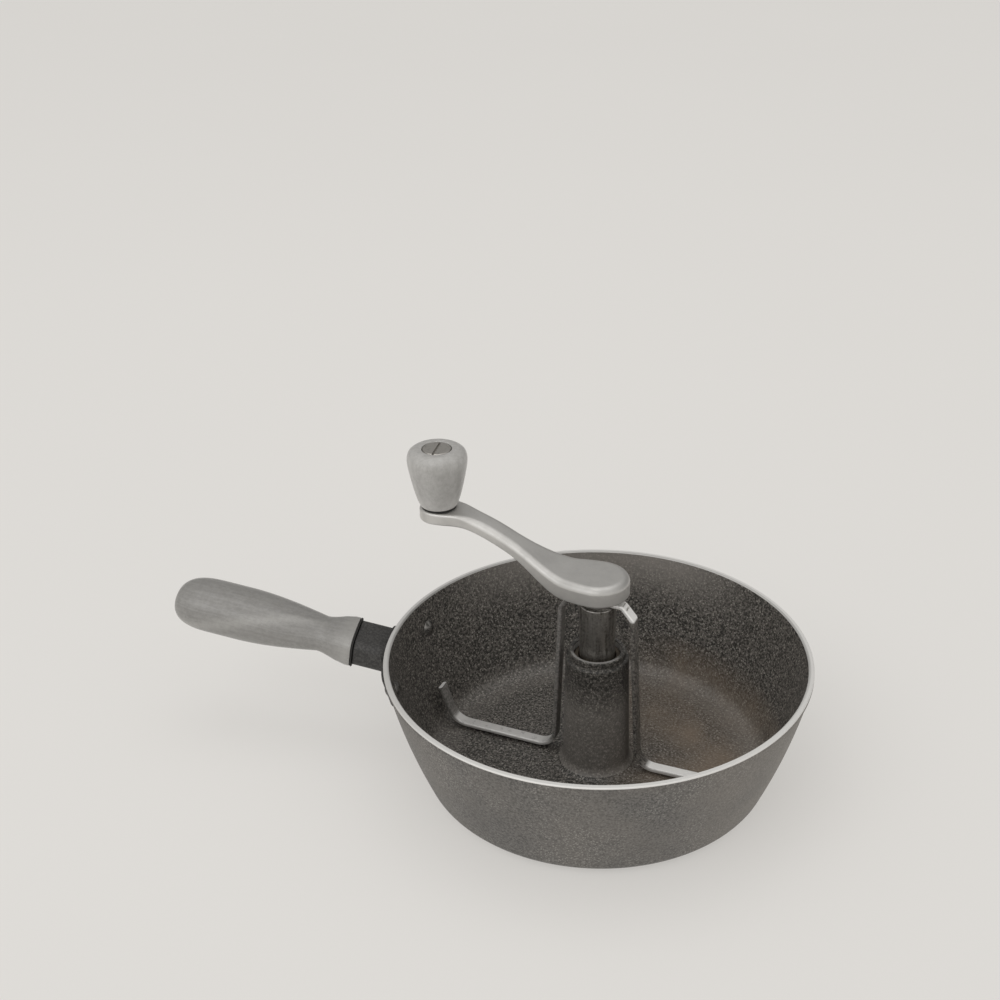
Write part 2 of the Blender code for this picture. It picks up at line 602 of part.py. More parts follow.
tie = turned("stem_screw",
             [(0, tie_top), (TIE_RADIUS, tie_top), (TIE_RADIUS, tie_head_top),
              (TIE_HEAD_RADIUS, tie_head_top), (TIE_HEAD_RADIUS, tie_head_foot), (0, tie_head_foot)],
             SMALL_STEPS, ZINC, crank_axis)
combine(tie, block("stem_screw_slot", (DRIVER_SLOT_WIDTH, 4 * TIE_HEAD_RADIUS, 2 * DRIVER_SLOT_DEPTH),
                   (0, 0, tie_head_foot), crank_axis))
spacer_radius = STEM_RADIUS + SPACER_EXTRA
spacer = turned("hub_spacer",
                washer_profile(tie_hole, spacer_radius, SPACER_FOOT_Z, SPACER_FOOT_Z + SPACER_THICKNESS),
                ROUND_STEPS, STEM_STEEL, crank_axis, closed=True)

# One dowel keys the stem, the strip, the spacer and the hub together
dowel_offset = (tie_hole + STEM_RADIUS) / 2
dowel_low = STEM_TOP_Z - DOWEL_BITE
dowel_high = HUB_FOOT_Z + DOWEL_BITE
rod("drive_dowel", DOWEL_RADIUS, dowel_low, dowel_high, crank_axis, dowel_offset, ZINC)
dowel_hole = rod("dowel_hole", DOWEL_RADIUS + GAP, dowel_low - GAP, dowel_high + GAP, crank_axis,
                 dowel_offset)
combine(stem, dowel_hole)
combine(spacer, dowel_hole)


# Stirrer: half the strip is lofted along its bent route, and mirrored
def bent_route(corners, bends, per_bend=6):
    """A centre line through corner points with round bends at the inner ones."""
    route = [Vector(corners[0])]
    for before, corner, after, bend in zip(corners, corners[1:], corners[2:], bends):
        corner = Vector(corner)
        back = (Vector(before) - corner).normalized()
        ahead = (Vector(after) - corner).normalized()
        half = back.angle(ahead) / 2
        centre = corner + (back + ahead).normalized() * (bend / math.sin(half))
        start = corner + back * (bend / math.tan(half)) - centre
        end = corner + ahead * (bend / math.tan(half)) - centre
        for i in range(per_bend + 1):
            route.append(centre + start.slerp(end, i / per_bend) * bend)
    route.append(Vector(corners[-1]))
    return route


foot_z = FLOOR_THICKNESS + FOOT_LIFT
arm_end_z = foot_z + ARM_RISE
tip_z = arm_end_z + TIP_HEIGHT
heel_reach = radius_at(inner_wall, arm_end_z) - HEEL_CLEARANCE - STRIP_THICKNESS / 2
tip_reach = radius_at(inner_wall, tip_z) - TIP_CLEARANCE - STRIP_THICKNESS / 2
shoulder_offset = POST_TOP_RADIUS + LEG_CLEARANCE + STRIP_THICKNESS / 2
strip_corners = [(0, STRIP_Z), (spacer_radius + SHOULDER_MARGIN, STRIP_Z),
                 (shoulder_offset, STRIP_Z - SHOULDER_FALL),
                 (shoulder_offset + FOOT_SPREAD, foot_z), (heel_reach, arm_end_z),
                 (tip_reach, tip_z)]
strip_route = bent_route(strip_corners, [SHOULDER_EASE, SHOULDER_BEND, FOOT_BEND, TIP_BEND])


def strip_ring(i):
    """The strip's section, square to its route, with eased edges."""
    ahead = strip_route[min(i + 1, len(strip_route) - 1)]
    behind = strip_route[max(i - 1, 0)]
    along = Vector((1, 0)) if i == 0 else (ahead - behind).normalized()
    normal = Vector((-along.y, along.x))
    half_w = STRIP_WIDTH / 2
    half_t = STRIP_THICKNESS / 2
    eased_w = half_w - STRIP_EDGE
    eased_t = half_t - STRIP_EDGE
    section = [(half_w, -eased_t), (half_w, eased_t), (eased_w, half_t), (-eased_w, half_t),
               (-half_w, eased_t), (-half_w, -eased_t), (-eased_w, -half_t), (eased_w, -half_t)]
    points = [(strip_route[i] + normal * t, w) for w, t in section]
    return [(point.x, w, point.y) for point, w in points]


strip = loft("stirrer_strip", [strip_ring(i) for i in range(len(strip_route))], STAINLESS, crank_axis,
             cap_start=False)
mirror = strip.modifiers.new("other arm", "MIRROR")
mirror.merge_threshold = TINY
combine(strip, rod("strip_bore", tie_hole, STRIP_Z - OVERRUN, STRIP_Z + OVERRUN, crank_axis))
combine(strip, dowel_hole)
for side in (1, -1):
    for shift in (-SLOT_PITCH / 2, SLOT_PITCH / 2):
        slot_centre = (side * (shoulder_offset - SLOT_INSET + shift), 0, STRIP_Z)
        combine(strip, block("strip_slot", (SLOT_WIDTH, SLOT_LENGTH, 2 * SHOULDER_FALL), slot_centre,
                             crank_axis))


# Crank arm: a rounded plate whose plan tapers and whose height follows an S curve
climb_length = CRANK_RADIUS - RISE_END - RISE_START


def arm_top(x):
    """Height of the arm's upper face."""
    share = max((x - RISE_START) / climb_length, 0.0)
    return HUB_TOP_Z + CRANK_RISE * smooth_step(share ** RISE_HASTE)


def arm_bottom(x):
    """Height of the arm's lower face, for a thickness measured square to the climb."""
    slope = (arm_top(x + GAP) - arm_top(x - GAP)) / (2 * GAP)
    thinned = smooth_step((x - THIN_START) / (TAPER_LENGTH - THIN_START))
    thickness = HUB_THICKNESS + (SEAT_THICKNESS - HUB_THICKNESS) * thinned
    return arm_top(x) - thickness * math.hypot(1, slope)


def arm_half_width(x):
    """Half the arm's width in plan between its round ends."""
    taper = HUB_RADIUS + (ARM_NECK_HALF - HUB_RADIUS) * smooth_step(x / TAPER_LENGTH)
    flare = smooth_step((x - CRANK_RADIUS + SEAT_FLARE) / SEAT_FLARE)
    return taper + (SEAT_RADIUS - ARM_NECK_HALF) * flare


def arm_edge(x, top):
    """How far in and down the rounding of the upper or lower edge reaches."""
    if not top:
        return CRANK_FOOT_EDGE, CRANK_FOOT_EDGE
    shrunk = smooth_step((x - SHOULDER_END) / (CRANK_RADIUS - SEAT_RADIUS - SHOULDER_END))
    reach = CRANK_SHOULDER + (SEAT_EDGE - CRANK_SHOULDER) * shrunk
    return reach, reach * SHOULDER_DROP


def arm_outline():
    """One side of the plan, from the hub's end to the seat's end."""
    hub = [(-HUB_RADIUS * math.cos(a), HUB_RADIUS * math.sin(a)) for a in np.linspace(0, math.pi / 2, 9)]
    run = [(x, arm_half_width(x)) for x in np.linspace(0, CRANK_RADIUS, 20)[1:-1]]
    seat = [(CRANK_RADIUS + SEAT_RADIUS * math.sin(a), SEAT_RADIUS * math.cos(a))
            for a in np.linspace(0, math.pi / 2, 7)]
    return hub + run + seat


def crank_arm_mesh():
    """Loops round the plan, stepped in and rounded over the top and bottom edges."""
    side = arm_outline()
    count = len(side)
    loop = [Vector(point) for point in side]
    loop += [Vector((x, -y)) for x, y in reversed(side[1:-1])]
    size = len(loop)
    inward = []
    for i in range(size):
        run = loop[(i + 1) % size] - loop[i - 1]
        inward.append(Vector((run.y, -run.x)).normalized())
    shape = bmesh.new()
    rings = []
    for top, angles in ((False, (90, 45, 0)), (True, (0, 30, 60, 90))):
        for degrees in angles:
            a = math.radians(degrees)
            ring = []
            for point, normal in zip(loop, inward):
                reach, drop = arm_edge(point.x, top)
                place = point + normal * (reach * (1 - math.cos(a)))
                dip = drop * (1 - math.sin(a))
                z = arm_top(place.x) - dip if top else arm_bottom(place.x) + dip
                ring.append(shape.verts.new((place.x, place.y, z)))
            rings.append(ring)
    for lower, upper in zip(rings, rings[1:]):
        for i in range(size):
            j = (i + 1) % size
            shape.faces.new((lower[i], upper[i], upper[j], lower[j]))
    for ring in (rings[0], rings[-1]):
        shape.faces.new((ring[0], ring[1], ring[size - 1]))
        for i in range(1, count - 2):
            shape.faces.new((ring[i], ring[i + 1], ring[size - i - 1], ring[size - i]))
        shape.faces.new((ring[count - 2], ring[count - 1], ring[count]))
    bmesh.ops.recalc_face_normals(shape, faces=shape.faces)
    mesh = bpy.data.meshes.new("crank_arm")
    shape.to_mesh(mesh)
    shape.free()
    return mesh


arm = new_object("crank_arm", crank_arm_mesh(), CAST_ALUMINIUM, crank_axis)
combine(arm, rod("hub_thread", tie_hole, HUB_FOOT_Z - OVERRUN, tie_top + GAP, crank_axis))
combine(arm, dowel_hole)

# Knob: it spins on a sleeve that its screw clamps to the seat
knob_axis = new_empty("knob_axis", (CRANK_RADIUS, 0, SEAT_Z), parent=crank_axis)
knob_foot = GAP + KNOB_SEAT_THICKNESS + GAP
knob_top = knob_foot + KNOB_HEIGHT
screw_hole = KNOB_SCREW_RADIUS + GAP
sleeve_outer = screw_hole + SLEEVE_WALL
knob_bore = sleeve_outer + SLIP
screw_foot = SEAT_WEB - SEAT_THICKNESS
head_underside = knob_top - KNOB_HEAD_HEIGHT
wave_top = head_underside - GAP
wave_foot = wave_top - WAVE_WASHER_THICKNESS
recess_floor = wave_foot - GAP
recess_radius = KNOB_HEAD_RADIUS + KNOB_HEAD_CLEARANCE

combine(arm, rod("seat_thread", screw_hole, screw_foot - GAP, OVERRUN, knob_axis))
turned("knob_seat_washer",
       washer_profile(sleeve_outer + GAP, KNOB_FOOT_RADIUS - WASHER_MARGIN, GAP, GAP + KNOB_SEAT_THICKNESS),
       ROUND_STEPS, FIBRE, knob_axis, closed=True)
turned("knob_sleeve", washer_profile(screw_hole, sleeve_outer, GAP, head_underside - GAP),
       SMALL_STEPS, STEM_STEEL, knob_axis, closed=True)
turned("knob_wave_washer", washer_profile(knob_bore, KNOB_HEAD_RADIUS - WASHER_MARGIN, wave_foot, wave_top),
       SMALL_STEPS, ZINC, knob_axis, closed=True)
knob_screw = turned("knob_screw",
                    [(0, knob_top), (KNOB_HEAD_RADIUS - KNOB_ROUND, knob_top),
                     (KNOB_HEAD_RADIUS, knob_top - KNOB_ROUND), (KNOB_HEAD_RADIUS, head_underside),
                     (KNOB_SCREW_RADIUS, head_underside), (KNOB_SCREW_RADIUS, screw_foot), (0, screw_foot)],
                    ROUND_STEPS, ZINC, knob_axis)
combine(knob_screw, block("knob_screw_slot", (KNOB_SLOT_WIDTH, 4 * KNOB_HEAD_RADIUS, 2 * KNOB_SLOT_DEPTH),
                          (0, 0, knob_top), knob_axis, turn=KNOB_SLOT_ANGLE - CRANK_ANGLE - 90))

# (share of the height, share of the way from the foot's radius to the widest)
KNOB_SIDE = ((0.995, 0.30), (0.94, 0.80), (0.87, 0.97), (0.80, 1.00), (0.70, 0.95), (0.53, 0.78),
             (0.38, 0.61), (0.24, 0.43), (0.11, 0.23), (0.03, 0.06))
knob_profile = [(knob_bore, recess_floor), (recess_radius, recess_floor),
                (recess_radius, knob_top - KNOB_ROUND), (recess_radius + KNOB_ROUND, knob_top)]
knob_profile += [(KNOB_FOOT_RADIUS + (KNOB_RADIUS - KNOB_FOOT_RADIUS) * out, knob_foot + KNOB_HEIGHT * up)
                 for up, out in KNOB_SIDE]
knob_profile += [(KNOB_FOOT_RADIUS - KNOB_ROUND, knob_foot), (knob_bore, knob_foot)]
turned("knob_grip", knob_profile, ROUND_STEPS, KNOB_WOOD, knob_axis, closed=True)

for obj in (bracket, grip, gasket, strip, arm):
    obj.data.shade_smooth()
    obj.data.set_sharp_from_angle(angle=math.radians(35))
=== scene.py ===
"""The looks of a stovetop nut roaster with a hand cranked stirrer, in metres, +Z up."""
from math import acos, asin, atan, atan2, copysign, cos, hypot, pi, radians, sin, sqrt, tan, tau

import bmesh
import bpy
from mathutils import Euler, Matrix, Vector


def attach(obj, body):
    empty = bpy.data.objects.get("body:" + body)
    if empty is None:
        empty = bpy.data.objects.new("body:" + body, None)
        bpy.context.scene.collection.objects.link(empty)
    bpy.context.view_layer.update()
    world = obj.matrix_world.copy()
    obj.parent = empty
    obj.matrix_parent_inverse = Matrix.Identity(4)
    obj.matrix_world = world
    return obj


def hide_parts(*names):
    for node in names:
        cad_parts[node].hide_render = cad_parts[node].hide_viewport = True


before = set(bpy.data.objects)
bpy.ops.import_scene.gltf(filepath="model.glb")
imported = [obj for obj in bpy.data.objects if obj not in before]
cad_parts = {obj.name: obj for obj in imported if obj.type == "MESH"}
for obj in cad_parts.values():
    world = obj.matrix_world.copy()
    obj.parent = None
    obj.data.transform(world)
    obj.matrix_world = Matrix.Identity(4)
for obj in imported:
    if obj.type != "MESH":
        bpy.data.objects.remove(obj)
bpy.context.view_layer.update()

# Cast pan
# One aluminium casting holds the wall, the floor and the hollow post. It is turned inside
# and out, sprayed with speckled dark enamel inside and grey paint outside, and then its
# rim, the post's lip and bore, and the base are machined bare.
STEM_RADIUS = 0.0100
SLIP = 0.0003                 # radial clearance of the turning parts
GAP = 0.0003                  # clearance between parts that touch
BUSH_WALL = 0.0029
PAN_RIM_RADIUS = 0.1200
PAN_HEIGHT = 0.0750
PAN_FLOOR = 0.0040
RIM_WIDTH = 0.0032
RIM_DEPTH = 0.0030
RIM_OVERHANG = 0.0008
WALL_BULGE = 0.0015
WALL_STEPS, FOOT_STEPS = 28, 16
BASE_RADIUS = 0.0874
BASE_FILLET = 0.0127
FLOOR_RADIUS = 0.0884
FLOOR_FILLET = 0.0100
LIP_Z = 0.0790
LIP_DEPTH = 0.0040
LIP_RADIUS = 0.0160
POST_RADIUS = 0.0178
POST_FOOT_RADIUS = 0.0192
POST_FOOT_FILLET = 0.0070
POST_BORE_RADIUS = STEM_RADIUS + SLIP + BUSH_WALL + SLIP
LOWER_BORE_RADIUS = 0.0116
BORE_FLOOR = 0.0080
BUSH_TOP_Z = 0.0760
BUSH_FOOT_Z = 0.0460
RIM_INNER = PAN_RIM_RADIUS - RIM_WIDTH
RIM_OUTER = PAN_RIM_RADIUS - RIM_OVERHANG
LIP_FLAT = 0.0008
TOUCH = 1e-6                  # points nearer than this are one
BARE, WORN, COATED, PAINTED = 0.0, 0.5, 1.0, 2.0   # how a stretch of the section is finished

ENAMEL_DARK = (0.016, 0.015, 0.013)
ENAMEL_HAZE = (0.142, 0.131, 0.117)
ENAMEL_FLECK = (0.380, 0.352, 0.320)
PAINT_GREY = (0.152, 0.145, 0.136)
PAINT_SHADE = (0.062, 0.059, 0.055)
PAINT_FLECK = (0.330, 0.316, 0.296)
PAINT_FADED_AND_LIT = (0.235, 0.212, 0.185)      # rubbed paler by hands and cloths, and painted light on the pan's right side
ENAMEL_WORN_AND_LIT = (0.270, 0.250, 0.228)      # polished thin by the stirrer; also painted light on the far upper wall and the post's lower side
ENAMEL_BROWNED = (0.225, 0.172, 0.125)   # baked oil
BARE_METAL = (0.85, 0.84, 0.82)
BARE_SHADE = (0.56, 0.55, 0.53)
BARE_PAINTED_SHADE = (0.20, 0.195, 0.185)     # painted shade on the rim's inner edge at the far side and on the rim's left


def operator(operation, swapped=False):
    """A method that joins a wire and another term with a Math node."""
    def method(self, other):
        return self.nodes.maths(operation, *((other, self) if swapped else (self, other)))
    return method


class Wire:
    """An output socket that takes part in sums: each operator adds its Math node."""

    def __init__(self, nodes, socket):
        self.nodes = nodes
        self.socket = socket

    def __getitem__(self, name):
        return Wire(self.nodes, self.socket.node.outputs[name])

    __add__, __radd__ = operator("ADD"), operator("ADD", swapped=True)
    __sub__, __rsub__ = operator("SUBTRACT"), operator("SUBTRACT", swapped=True)
    __mul__, __rmul__ = operator("MULTIPLY"), operator("MULTIPLY", swapped=True)
    __truediv__, __pow__, __mod__ = operator("DIVIDE"), operator("POWER"), operator("MODULO")
    __lt__, __gt__ = operator("LESS_THAN"), operator("GREATER_THAN")


class Nodes:
    """Adds nodes to one tree by type, settings and socket values."""

    def __init__(self, tree):
        self.tree = tree

    def add(self, kind, sockets=None, **settings):
        """Sets a node's settings, then its sockets' values and links, and gives its first output."""
        node = self.tree.nodes.new(kind)
        for name, value in settings.items():
            setattr(node, name, value)
        wanted = {socket.name: socket for socket in node.inputs}
        wanted.update({socket.identifier: socket for socket in node.inputs})
        for name, value in (sockets or {}).items():
            if isinstance(value, Wire):
                self.tree.links.new(value.socket, wanted[name])
            elif isinstance(value, tuple) and wanted[name].type == "RGBA":
                wanted[name].default_value = (*value, 1.0)
            else:
                wanted[name].default_value = value
        shown = [socket for socket in node.outputs if socket.enabled]
        return Wire(self, shown[0]) if shown else None

    def maths(self, operation, first, second=None):
        """A Math node on one or two terms."""
        sockets = {"Value": first}
        if second is not None:
            sockets["Value_001"] = second
        return self.add("ShaderNodeMath", sockets, operation=operation)

    def point(self, **axes):
        """A place from its X, Y and Z, those left out being 0."""
        return self.add("ShaderNodeCombineXYZ", axes)

    def stored(self, name):
        """A number stored on the drawn mesh."""
        return self.add("GeometryNodeInputNamedAttribute", {"Name": name}, data_type="FLOAT")

    def rounded(self, curve, count, radius, **more):
        """A line with round corners."""
        return self.add("GeometryNodeFilletCurve",
            {"Curve": curve, "Count": count, "Radius": radius, **more}, mode="POLY")


class Finish(Nodes):
    """The node tree of one surface finish, with its patterns in metres."""

    def __init__(self, name):
        self.material = bpy.data.materials.new(name)
        self.material.use_nodes = True
        super().__init__(self.material.node_tree)
        self.tree.nodes.clear()
        self.place = self.add("ShaderNodeTexCoord")["Object"]

    def axes(self, place=None):
        """The three numbers of a place."""
        parts = self.add("ShaderNodeSeparateXYZ", {"Vector": place or self.place})
        return parts["X"], parts["Y"], parts["Z"]

    def from_axis(self, place=None):
        """The distance to the Z axis."""
        x, y, _ = self.axes(place)
        return (x * x + y * y) ** 0.5

    def facing_up(self):
        """1 where the surface faces up, 0 where it stands upright."""
        return self.axes(self.add("ShaderNodeNewGeometry")["Normal"])[2]

    def along(self, centre, turn=(0, 0, 0), stretch=(1, 1, 1)):
        """Places measured from a centre, along turned axes, and stretched along them."""
        sockets = {"Vector": self.place, "Location": centre, "Rotation": turn, "Scale": stretch}
        return self.add("ShaderNodeMapping", sockets, vector_type="TEXTURE")

    def noise(self, size, detail=2.0, roughness=0.5, place=None):
        """Soft noise from 0 to 1 with blotches of about one size."""
        sockets = {"Vector": place or self.place, "Scale": 1 / size, "Detail": detail,
            "Roughness": roughness}
        return self.add("ShaderNodeTexNoise", sockets)

    def rings(self, distance, size, detail=2.0):
        """Noise that changes with one number only, such as the tool marks round a lathe."""
        sockets = {"W": distance, "Scale": 1 / size, "Detail": detail}
        return self.add("ShaderNodeTexNoise", sockets, noise_dimensions="1D")

    def dots(self, size, place=None):
        """The distance to the nearest of scattered points, in shares of their spacing."""
        return self.add("ShaderNodeTexVoronoi", {"Vector": place or self.place, "Scale": 1 / size})

    def span(self, value, low, high):
        """0 at low, 1 at high and held beyond."""
        return self.add("ShaderNodeMapRange", {"Value": value, "From Min": low, "From Max": high})

    def mix(self, share, first, second):
        """The first colour at a share of 0, the second at 1."""
        sockets = {"Factor_Float": share, "A_Color": first, "B_Color": second}
        return self.add("ShaderNodeMix", sockets, data_type="RGBA")

    def done(self, colour, roughness, metallic, relief, depth, **more):
        """Ends the tree in its shader, with a relief of some depth, and returns the material."""
        bump = self.add("ShaderNodeBump", {"Height": relief, "Distance": depth})
        shader = self.add("ShaderNodeBsdfPrincipled",
            {"Base Color": colour, "Roughness": roughness, "Metallic": metallic, "Normal": bump,
            **{name.replace("_", " "): value for name, value in more.items()}})
        self.add("ShaderNodeOutputMaterial", {"Surface": shader})
        return self.material


def new_tree(name, ints=(), floats=(), objects=()):
    """A Geometry Nodes tree from mesh to mesh with named inputs: its nodes and its inputs' wires."""
    tree = bpy.data.node_groups.new(name, "GeometryNodeTree")
    tree.interface.new_socket("Mesh", in_out="OUTPUT", socket_type="NodeSocketGeometry")
    for kind, labels in (("Geometry", ["Mesh"]), ("Int", ints), ("Float", floats), ("Object", objects),
            ("Material", ["Material"])):
        for label in labels:
            tree.interface.new_socket(label, in_out="INPUT", socket_type="NodeSocket" + kind)
    nodes = Nodes(tree)
    outputs = nodes.add("NodeGroupInput").socket.node.outputs
    return nodes, {socket.name: Wire(nodes, socket) for socket in outputs if socket.name}


def end_tree(nodes, mesh, given):
    """Realizes a tree's result, gives it its material, sends it out and returns the tree."""
    real = nodes.add("GeometryNodeRealizeInstances", {"Geometry": mesh})
    painted = nodes.add("GeometryNodeSetMaterial", {"Geometry": real, "Material": given["Material"]})
    nodes.add("NodeGroupOutput", {"Mesh": painted})
    return nodes.tree


def turning_tree():
    """Rounds the corners of a drawn section and turns it round Z."""
    nodes, given = new_tree("turned section", ints=("Steps", "Corner points", "Closed"))
    line = nodes.add("GeometryNodeMeshToCurve", {"Mesh": given["Mesh"]})
    section = nodes.rounded(line, given["Corner points"], nodes.stored("corner"),
        **{"Limit Radius": True})
    count = nodes.add("GeometryNodeAttributeDomainSize", {"Geometry": section}, component="CURVE")
    across = given["Steps"] + 1
    grid = nodes.add("GeometryNodeMeshGrid", {"Vertices X": count + given["Closed"],
        "Vertices Y": across})
    index = nodes.add("GeometryNodeInputIndex")
    row = nodes.maths("FLOOR", (index + 0.5) / across)
    turn = (index - row * across) * tau / given["Steps"]
    drawn = {}
    for kind, value in (("FLOAT_VECTOR", nodes.add("GeometryNodeInputPosition")),
            ("FLOAT", nodes.stored("zone"))):
        drawn[kind] = nodes.add("GeometryNodeSampleIndex",
            {"Geometry": section, "Value": value, "Index": row % count}, data_type=kind)
    point = nodes.add("ShaderNodeSeparateXYZ", {"Vector": drawn["FLOAT_VECTOR"]})
    place = nodes.point(X=point["X"] * nodes.maths("COSINE", turn),
        Y=point["X"] * nodes.maths("SINE", turn), Z=point["Z"])
    zoned = nodes.add("GeometryNodeStoreNamedAttribute",
        {"Geometry": grid, "Name": "zone", "Value": drawn["FLOAT"]}, data_type="FLOAT", domain="POINT")
    shape = nodes.add("GeometryNodeSetPosition", {"Geometry": zoned, "Position": place})
    closed = nodes.add("GeometryNodeMergeByDistance", {"Geometry": shape, "Distance": TOUCH})
    return end_tree(nodes, closed, given)


def drawn_section(points, closed=False):
    """A line of (radius, z, corner radius, zone) points in the XZ plane."""
    full = [(*point, 0, 0)[:4] for point in points]
    edges = [(i, i + 1) for i in range(len(full) - 1)] + ([(len(full) - 1, 0)] if closed else [])
    mesh = bpy.data.meshes.new("section")
    mesh.from_pydata([(point[0], 0, point[1]) for point in full], edges, [])
    for name, which in (("corner", 2), ("zone", 3)):
        mesh.attributes.new(name, "FLOAT", "POINT").data.foreach_set("value", [p[which] for p in full])
    return mesh


def new_object(name, data):
    """An object in the scene."""
    thing = bpy.data.objects.new(name, data)
    bpy.context.scene.collection.objects.link(thing)
    return thing


def plain_mesh(thing, *others):
    """The mesh that an object's modifiers make; the objects go."""
    mesh = bpy.data.meshes.new_from_object(thing.evaluated_get(bpy.context.evaluated_depsgraph_get()))
    for used in (thing, *others):
        bpy.data.objects.remove(used)
    return mesh


def grown(mesh, tree, material, inputs):
    """The plain mesh that a tree makes of a drawn one."""
    drawn = new_object("drawn", mesh)
    growth = drawn.modifiers.new("growth", "NODES")
    growth.node_group = tree
    inputs = {"Material": material, **inputs}
    for item in tree.interface.items_tree:
        if item.in_out == "INPUT" and item.name in inputs:
            growth[item.identifier] = inputs[item.name]
    return plain_mesh(drawn)


def turned(section, material, steps=128, corner_points=5, closed=1):
    """A drawn section turned round Z."""
    return grown(section, TURNING, material, {"Steps": steps, "Corner points": corner_points,
        "Closed": closed})


def fitted(mesh, body, slot, *nodes, name=None, material=None, crease=30.0, matrix=None):
    """A finished piece that rides on its body in the place of CAD nodes."""
    if matrix:
        mesh.transform(matrix)
    shape = bmesh.new()
    shape.from_mesh(mesh)
    bmesh.ops.remove_doubles(shape, verts=shape.verts, dist=TOUCH)
    bmesh.ops.recalc_face_normals(shape, faces=shape.faces)
    shape.to_mesh(mesh)
    shape.free()
    if material:
        mesh.materials.clear()
        mesh.materials.append(material)
    mesh.shade_smooth()
    mesh.set_sharp_from_angle(angle=radians(crease))
    piece = new_object(name or nodes[0] + "_fine", mesh)
    piece.modifiers.new("even shading", "WEIGHTED_NORMAL").keep_sharp = True
    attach(piece, body)
    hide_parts(*nodes)


def arc(x, y, radius, start, end, steps):
    """Points on an arc, both ends included."""
    angles = [start + (end - start) * i / steps for i in range(steps + 1)]
    return [(x + radius * cos(angle), y + radius * sin(angle)) for angle in angles]


def wall_line(top_radius, top_z, flat_radius, bottom_z, fillet, zone):
    """A bellied wall from its top down to the edge of a flat, as a section."""
    centre_z = bottom_z + fillet
    reach = hypot(top_radius - flat_radius, top_z - centre_z)
    tangent = atan2(top_z - centre_z, top_radius - flat_radius) - acos(fillet / reach)
    run = Vector((flat_radius + fillet * cos(tangent) - top_radius,
        centre_z + fillet * sin(tangent) - top_z))
    out = Vector((-run.y, run.x)).normalized()
    line = []
    for i in range(WALL_STEPS):
        share = i / WALL_STEPS
        bulge = 4 * WALL_BULGE * share * (1 - share)
        point = Vector((top_radius, top_z)) + run * share + out * bulge
        line.append((point.x, point.y, 0, zone))
    foot = arc(flat_radius, centre_z, fillet, tangent, -pi / 2, FOOT_STEPS)
    return line + [(*point, 0, zone) for point in foot]


INNER_WALL = wall_line(RIM_INNER, PAN_HEIGHT - 0.0006, FLOOR_RADIUS, PAN_FLOOR, FLOOR_FILLET, COATED)
OUTER_WALL = wall_line(RIM_OUTER, PAN_HEIGHT - RIM_DEPTH, BASE_RADIUS, 0.0, BASE_FILLET, PAINTED)


def pan_section():
    """Bore, post, floor, wall, rim and base, from the bore's floor to the middle of the base."""
    bore = [(0, BORE_FLOOR), (LOWER_BORE_RADIUS, BORE_FLOOR, 0.0005),
        (LOWER_BORE_RADIUS, BUSH_FOOT_Z - GAP, 0.0003), (POST_BORE_RADIUS, BUSH_FOOT_Z - GAP, 0.0003),
        (POST_BORE_RADIUS, LIP_Z - LIP_FLAT), (POST_BORE_RADIUS, LIP_Z, 0.0004, WORN)]
    post = [(LIP_RADIUS - LIP_FLAT, LIP_Z, 0, WORN), (LIP_RADIUS, LIP_Z, 0.0006, COATED),
        (LIP_RADIUS, LIP_Z - LIP_DEPTH, 0.0005, COATED), (POST_RADIUS, LIP_Z - LIP_DEPTH, 0.0016, COATED),
        (POST_FOOT_RADIUS, PAN_FLOOR, POST_FOOT_FILLET, COATED)]
    floor = [(share * FLOOR_RADIUS, PAN_FLOOR, 0, COATED) for share in (0.40, 0.55, 0.70, 0.85)]
    rim = [(RIM_INNER, PAN_HEIGHT - 0.0004, 0, BARE), (RIM_INNER + 0.0005, PAN_HEIGHT, 0.0004, BARE),
        (PAN_RIM_RADIUS, PAN_HEIGHT, 0.0006, BARE), (PAN_RIM_RADIUS, PAN_HEIGHT - 0.0008, 0, BARE),
        (PAN_RIM_RADIUS, PAN_HEIGHT - 0.0009, 0, PAINTED),
        (PAN_RIM_RADIUS, PAN_HEIGHT - RIM_DEPTH + RIM_OVERHANG / 2, 0.0004, PAINTED)]
    base = [(BASE_RADIUS - 0.0004, 0, 0, BARE), (0, 0)]
    return bore + post + floor + INNER_WALL[::-1] + rim + OUTER_WALL + base


